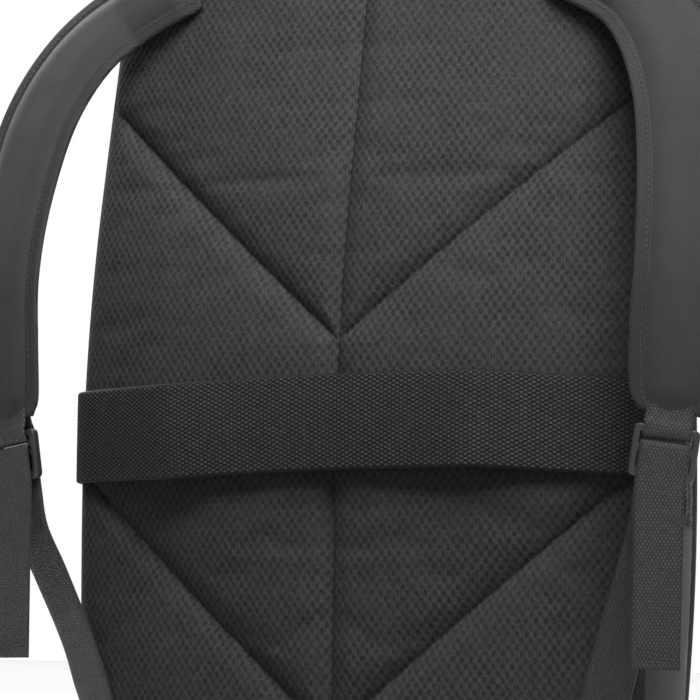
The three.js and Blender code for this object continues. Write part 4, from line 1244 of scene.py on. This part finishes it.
def shoulder(side, word):
    got, s = strap_rows()
    rows = np.stack([got[:, 0], got[:, 2], got[:, 3], got[:, 6]], 1)
    width, thick = got[:, 4].copy(), got[:, 5].copy()
    start = smoothstep(0, 16, s)
    end = smoothstep(0, 12, s[-1] - s)
    full = thick.copy()
    thick = 3.4 + (thick - 3.4) * start * (0.25 + 0.75 * end)
    # The sewn end lies flat on the panel.
    rows[:, 2] = np.where(s < 30, rows[:, 2] - (full - thick) * 0.5, rows[:, 2])
    width = width * (0.92 + 0.08 * smoothstep(0, 5, s)) * (0.9 + 0.1 * smoothstep(0, 6, s[-1] - s))
    mid, t, n, b = places(rows, side)
    for _ in range(40):
        b[1:-1] = unit(b[1:-1] + 0.25 * (b[:-2] + b[2:] - 2 * b[1:-1]))
    q = np.array([0, 0.25, 0.9, 1.8, 3.2, 5.0, 6.8, 7.6, 8.2, 8.9, 10.2, 12, 14.5, 17.5, 21])
    ring_u, ring_v, kind = [], [], []
    pts, uv = [], []
    for k in range(len(mid)):
        w, h = width[k], thick[k] / 2
        fl = min(1.8, h)

        def top(d):
            d = np.asarray(d, float)
            flange = fl * np.sqrt(np.clip(1 - (1 - np.clip(d / 1.8, 0, 1)) ** 2, 0, 1))
            groove = -0.45 * np.exp(-((d - 7.9) / 0.8) ** 2)
            crown = (h - fl) * np.sin(0.5 * math.pi * np.clip((d - 8.0) / 11.0, 0, 1))
            return np.maximum(0.0, flange + groove + np.maximum(crown, 0))

        half = np.concatenate([q[q < w / 2 - 2], [w / 2]])
        while len(half) < len(q) + 1:
            half = np.insert(half, len(half) - 1, (half[-2] + half[-1]) / 2)
        d_all = np.concatenate([half, half[::-1][1:]])
        u_pos = np.concatenate([-w / 2 + half, (w / 2 - half[::-1])[1:]])
        v = top(d_all)
        ring = [(u, vv) for u, vv in zip(u_pos, v)] + [(u, -vv) for u, vv in list(zip(u_pos, v))[-2:0:-1]]
        ring = np.array(ring)
        bump = 0.5 * noise(np.stack([ring[:, 0], np.full(len(ring), s[k]), ring[:, 1]], 1), 24.0, 8.0 + side) * np.clip((np.abs(ring[:, 1]) - fl) / 2.5, 0, 1)
        pts.append(mid[k] + b[k] * ring[:, :1] + n[k] * (ring[:, 1:] + np.sign(ring[:, 1:]) * bump[:, None]))
        uv.append(np.stack([ring[:, 0], np.full(len(ring), s[k])], 1))
    pts, uv = np.array(pts), np.array(uv)
    rows_n, m = pts.shape[:2]
    cols = (m + 2) // 2
    faces, mats = [], []
    for k in range(rows_n - 1):
        for i in range(m):
            j = (i + 1) % m
            faces.append((k * m + i, k * m + j, (k + 1) * m + j, (k + 1) * m + i))
            c = i if i < cols - 1 else (m - 1 - i)
            c = min(c, cols - 2 - c)
            mats.append(1 if c < 7 else (0 if i < cols - 1 else 2))
    faces.append(tuple(range(m))[::-1])
    faces.append(tuple((rows_n - 1) * m + i for i in range(m)))
    mats += [1, 1]
    ob = make("shoulder_pad_" + word, pts, faces, [M_CLOTH, M_BIND, M_MESH], uv, mats)
    outward(ob)
    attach(ob, "root")
    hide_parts("shoulder_strap_" + word)
    # Thread along both edges of the binding, and across the sewn end.
    lines = []
    for sgn in (-1, 1):
        u = sgn * (width / 2 - 5.9)
        lines.append((mid + b * u[:, None] + n * (np.minimum(1.8, thick / 2) + 0.05)[:, None], n))
    for at in (3, 6):
        u = np.linspace(-0.36, 0.36, 20)[:, None] * width[at]
        lines.append((mid[at] + b[at] * u + n[at] * (np.minimum(1.8, thick[at] / 2) + 0.5), np.repeat(n[at][None], 20, 0)))
    st = stitches("shoulder_stitches_" + word, lines, M_THREAD, pitch=3.4, length=2.4)
    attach(st, "root")
    return mid[-1], t[-1], n[-1], b[-1]


def ribbon(name, mids, guides, width, thick, mat, step=1.6, columns=9, sewn=0.0):
    """A flat band along points; guides are its width directions. Over its first sewn length it lies on the pad."""
    rows = np.concatenate([np.asarray(mids, float), np.asarray(guides, float)], 1)
    got, s = resample(rows, step)
    m, g = got[:, :3], got[:, 3:]
    t = unit(np.gradient(m, axis=0))
    g = unit(g - t * (g * t).sum(1, keepdims=True))
    n = unit(np.cross(g, t))
    w = np.linspace(-width / 2, width / 2, columns)
    p = m[:, None] + g[:, None] * w[None, :, None]
    nn = np.repeat(n[:, None], columns, 1)
    if sewn:
        lies, off = pad_point(p[..., 0], p[..., 2], thick / 2 + 0.4)
        hold = (1 - smoothstep(sewn, 3 * sewn, s))[:, None, None]
        p = p + hold * (lies - p)
        nn = unit(nn + hold * (np.sign((nn[0] * off[0]).sum()) * off - nn))
    p = p + nn * (thick / 2)
    edge = np.minimum(w + width / 2, width / 2 - w)
    p = p - nn * (0.25 * (1 - smoothstep(0, 1.2, edge)))[None, :, None]
    uv = np.stack(np.broadcast_arrays(s[:, None], (w + width / 2)[None]), -1)
    ob = cloth_wall(name, p, nn, thick, uv, [mat])
    return ob, float(s[-1])


def hardware(side, word, end):
    mid, t, n, b = end

    def at(bb, tt, nn):
        return mid + b * bb + t * tt + n * nn

    A = ADJ
    # The adjuster: a two-slot frame with softened edges and a lifted lip.
    out = round_rect(A["width"], A["length"], 3.0, 0, A["start"] + A["length"] / 2)
    slot_w = A["width"] - 2 * A["side"]
    h1 = round_rect(slot_w, A["top_slot"], 0.8, 0, A["start"] + A["top_bar"] + A["top_slot"] / 2)[::-1]
    h2 = round_rect(slot_w, A["low_slot"], 0.8, 0, A["start"] + A["top_bar"] + A["top_slot"] + A["mid_bar"] + A["low_slot"] / 2)[::-1]
    to = lambda c: mid + c[:, :1] * b + c[:, 1:2] * t + c[:, 2:3] * n
    lock = prism(out, [h1, h2], -A["thick"] / 2, A["thick"] / 2, "adjuster_frame", M_PLASTIC, 0.8, to)
    ribs = [prism(round_rect(slot_w * 0.8, 0.7, 0.3, 0, A["start"] + A["length"] - 3.6 + 1.2 * i), [], A["thick"] / 2 - 0.3, A["thick"] / 2 + 0.25, "adjuster_rib", M_PLASTIC, 0.2, to) for i in range(2)]
    ob = join("strap_adjuster_%s_frame" % word, [lock, *ribs])
    for f in ob.data.polygons:
        f.use_smooth = True
    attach(ob, "root")
    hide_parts("strap_adjuster_" + word)
    # The folded tab that holds the adjuster's top bar.
    top = A["start"] + A["top_bar"] / 2
    rows = [(-9, 1.1), (-2, 1.6), (3.2, 2.5), (top - 2.4, 3.75), (top + 1.9, 3.6), (top + 3.95, 2.0), (top + 4.18, 0), (top + 4.26, -1.9), (top + 2.3, -3.6), (top - 2.4, -3.75), (3.2, -2.5), (-2, -1.6), (-9, -1.1)]
    tab, tab_len = ribbon("strap_tab_" + word, [at(0, tt, nn) for tt, nn in rows], [b] * len(rows), 24.0, 1.2, M_WEB, step=0.8)
    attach(tab, "root")
    # The lower webbing.
    over = A["start"] + A["top_bar"] + A["top_slot"]
    frame_end = A["start"] + A["length"]
    clear = A["thick"] / 2 + 0.5 + WEB_T / 2
    foot_mid, foot_t, foot_n, foot_b = places(FOOT_ROWS, side)
    # Up behind the frame, through the upper slot over the middle bar, and down before the low bar.
    turn = [(frame_end + 26, -1.6 - clear), (frame_end + 6, -clear - 0.2), (over + 0.4, -clear), (over - 1.2, -clear * 0.74), (over - 1.97, 0),
            (over - 1.2, clear * 0.74), (over + 0.4, clear), (frame_end + 4, clear + 0.2)]
    mids = [*foot_mid, *[at(0, tt, nn) for tt, nn in turn]]
    guides = [*(-foot_b), *[b] * len(turn)]
    last = mids[-1]
    for drop in (0.3, 0.65, 1.0):
        mids.append(last + np.array([-side * 1.5 * drop, -1.5 * drop, -TAIL * drop]))
        guides.append(b)
    web, web_len = ribbon("strap_web_" + word, mids, guides, WEB_W, WEB_T, M_WEB, step=1.2, sewn=15.0)
    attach(web, "root")
    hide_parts("strap_webbing_" + word)
    # The foot is sewn down by a crossed box, and the free end is hemmed.
    lines = []
    f0, f1 = foot_mid[0], foot_mid[1]
    bb, tt = -foot_b[0], unit(f1 - f0)
    corner = lambda u, v: f0 + bb * u + tt * v
    box = [(-9, 2.5), (9, 2.5), (9, 13), (-9, 13)]
    for a0, a1 in ((0, 1), (1, 2), (2, 3), (3, 0), (0, 2), (1, 3)):
        c = np.linspace(corner(*box[a0]), corner(*box[a1]), 12)
        lines.append(pad_point(c[:, 0], c[:, 2], WEB_T + 0.45))
    tail_end = mids[-1]
    tn = unit(np.cross(b, unit(mids[-1] - mids[-2])))
    for sgn in (1, -1):
        for up in (6.0, 10.0):
            c = tail_end + np.array([0, 0, up]) + tn * sgn * (WEB_T / 2 + 0.1)
            lines.append((c + b * np.linspace(-10, 10, 10)[:, None], np.repeat((tn * sgn)[None], 10, 0)))
    st = stitches("webbing_stitches_" + word, lines, M_THREAD, pitch=2.8, length=2.0, radius=0.28)
    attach(st, "root")
    return web_len, tab_len


SOFT_LEN = {}
for word, side in (("left", -1), ("right", 1)):
    end = shoulder(side, word)
    SOFT_LEN[word] = hardware(side, word, end)

# ------------------------------------------------------------------ the grab handle


def grab_handle():
    pts = [(x, HANDLE_Y, z + HANDLE_T / 2) for x, z in HANDLE_ROWS]
    ob, length = ribbon("grab_web", pts, [(0, 1, 0)] * len(pts), HANDLE_W, HANDLE_T - 0.4, M_HANDLE, step=1.4)
    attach(ob, "root")
    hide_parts("grab_handle")
    lines = []
    for sgn in (-1, 1):
        box = [(sgn * 56, -6.5), (sgn * 56, 6.5), (sgn * 64.5, 6.5), (sgn * 64.5, -6.5)]
        zt = 493.7 + HANDLE_T - 0.1
        pt = lambda c: np.array([c[0], HANDLE_Y + c[1], zt])
        for i in range(4):
            lines.append((np.linspace(pt(box[i]), pt(box[(i + 1) % 4]), 8), np.tile([0, 0, 1.0], (8, 1))))
        for a, c in ((0, 2), (1, 3)):
            lines.append((np.linspace(pt(box[a]), pt(box[c]), 8), np.tile([0, 0, 1.0], (8, 1))))
    st = stitches("handle_stitches", lines, M_THREAD, pitch=2.6, length=1.9, radius=0.28)
    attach(st, "root")
    return length


HANDLE_LEN = grab_handle()

# ------------------------------------------------------------------ stage, light, camera
floor_me = bpy.data.meshes.new("floor")
floor_me.from_pydata([(-6, -6, -0.0003), (6, -6, -0.0003), (6, 6, -0.0003), (-6, 6, -0.0003)], [], [(0, 1, 2, 3)])
floor_me.materials.append(floor_paint())
floor = bpy.data.objects.new("floor", floor_me)
scene.collection.objects.link(floor)
floor.visible_diffuse = False  # the bright floor takes shadows and throws no light back up

world = bpy.data.worlds.new("studio")
scene.world = world
world.use_nodes = True
bg = world.node_tree.nodes["Background"]
bg.inputs[0].default_value = (1.0, 1.0, 1.0, 1.0)
# A pale studio: the backdrop is white from every side, and the room itself gives only a little light.
ray = world.node_tree.nodes.new("ShaderNodeLightPath")
ramp = world.node_tree.nodes.new("ShaderNodeMapRange")
for key, value in (("From Min", 0.0), ("From Max", 1.0), ("To Min", 0.24), ("To Max", 1.0)):
    ramp.inputs[key].default_value = value
world.node_tree.links.new(ray.outputs["Is Camera Ray"], ramp.inputs["Value"])
world.node_tree.links.new(ramp.outputs[0], bg.inputs[1])


def area_light(name, place_at, look_at, size, watts, spread=180.0):
    d = bpy.data.lights.new(name, "AREA")
    d.shape = "RECTANGLE"
    d.size, d.size_y = size
    d.energy = watts
    d.spread = math.radians(spread)
    o = bpy.data.objects.new(name, d)
    o.location = place_at
    o.rotation_euler = (Vector(look_at) - Vector(place_at)).to_track_quat("-Z", "Y").to_euler()
    scene.collection.objects.link(o)
    return o


PANEL_Y = SHIFT_Y / 1000.0
area_light("key", (0.38, PANEL_Y - 0.46, 1.20), (0.01, PANEL_Y, 0.50), (0.8, 0.8), 5.0, spread=70.0)
area_light("rim", (-1.3, 1.2, 1.3), (0, 0, 0.3), (1.2, 1.2), 12)
# A ceiling of light that serves the floor alone and gives the soft shadow under the bag.
ceiling = area_light("ceiling", (0.0, 0.0, 5.0), (0.0, 0.0, 0.0), (15.0, 15.0), 760, spread=70.0)
floor_only = bpy.data.collections.new("floor_only")
floor_only.objects.link(floor)
ceiling.light_linking.receiver_collection = floor_only
area_light("front_key", (-0.58, 0.46, 1.15), (0.0, 0.08, 0.42), (0.6, 0.6), 4.2, spread=80.0)

AZ, EL, ROLL, DIST, SCALE = 21.306, -5.0, 0.841, 1700.0, 0.530
TARGET = (10.576, 0.0, 238.74)
a, e, r = (math.radians(v) for v in (AZ, EL, ROLL))
back = np.array([math.sin(a) * math.cos(e), -math.cos(a) * math.cos(e), math.sin(e)])
right0 = np.array([math.cos(a), math.sin(a), 0.0])
up0 = np.cross(back, right0)
right = right0 * math.cos(r) + up0 * math.sin(r)
up = -right0 * math.sin(r) + up0 * math.cos(r)
target = place(np.array(TARGET))
cam_data = bpy.data.cameras.new("camera")
cam_data.sensor_width = 36.0
cam_data.sensor_fit = "HORIZONTAL"
cam_data.lens = 36.0 * (DIST / SCALE) / 700.0
cam_data.clip_start = 0.02
cam = bpy.data.objects.new("camera", cam_data)
m = Matrix.Identity(4)
for i in range(3):
    m[i][0], m[i][1], m[i][2], m[i][3] = right[i], up[i], back[i], target[i] + back[i] * DIST / 1000.0
cam.matrix_world = m
scene.collection.objects.link(cam)
scene.camera = cam
scene.view_settings.view_transform = "Standard"
scene.view_settings.look = "None"

print("flat sizes", {k: [round(x, 4) for x in v] for k, v in FLAT.items()}, "strap", round(STRAP_LEN, 1), "zip", round(ZIP_LEN, 3), "webbing and tab", SOFT_LEN, "handle", round(HANDLE_LEN, 1))
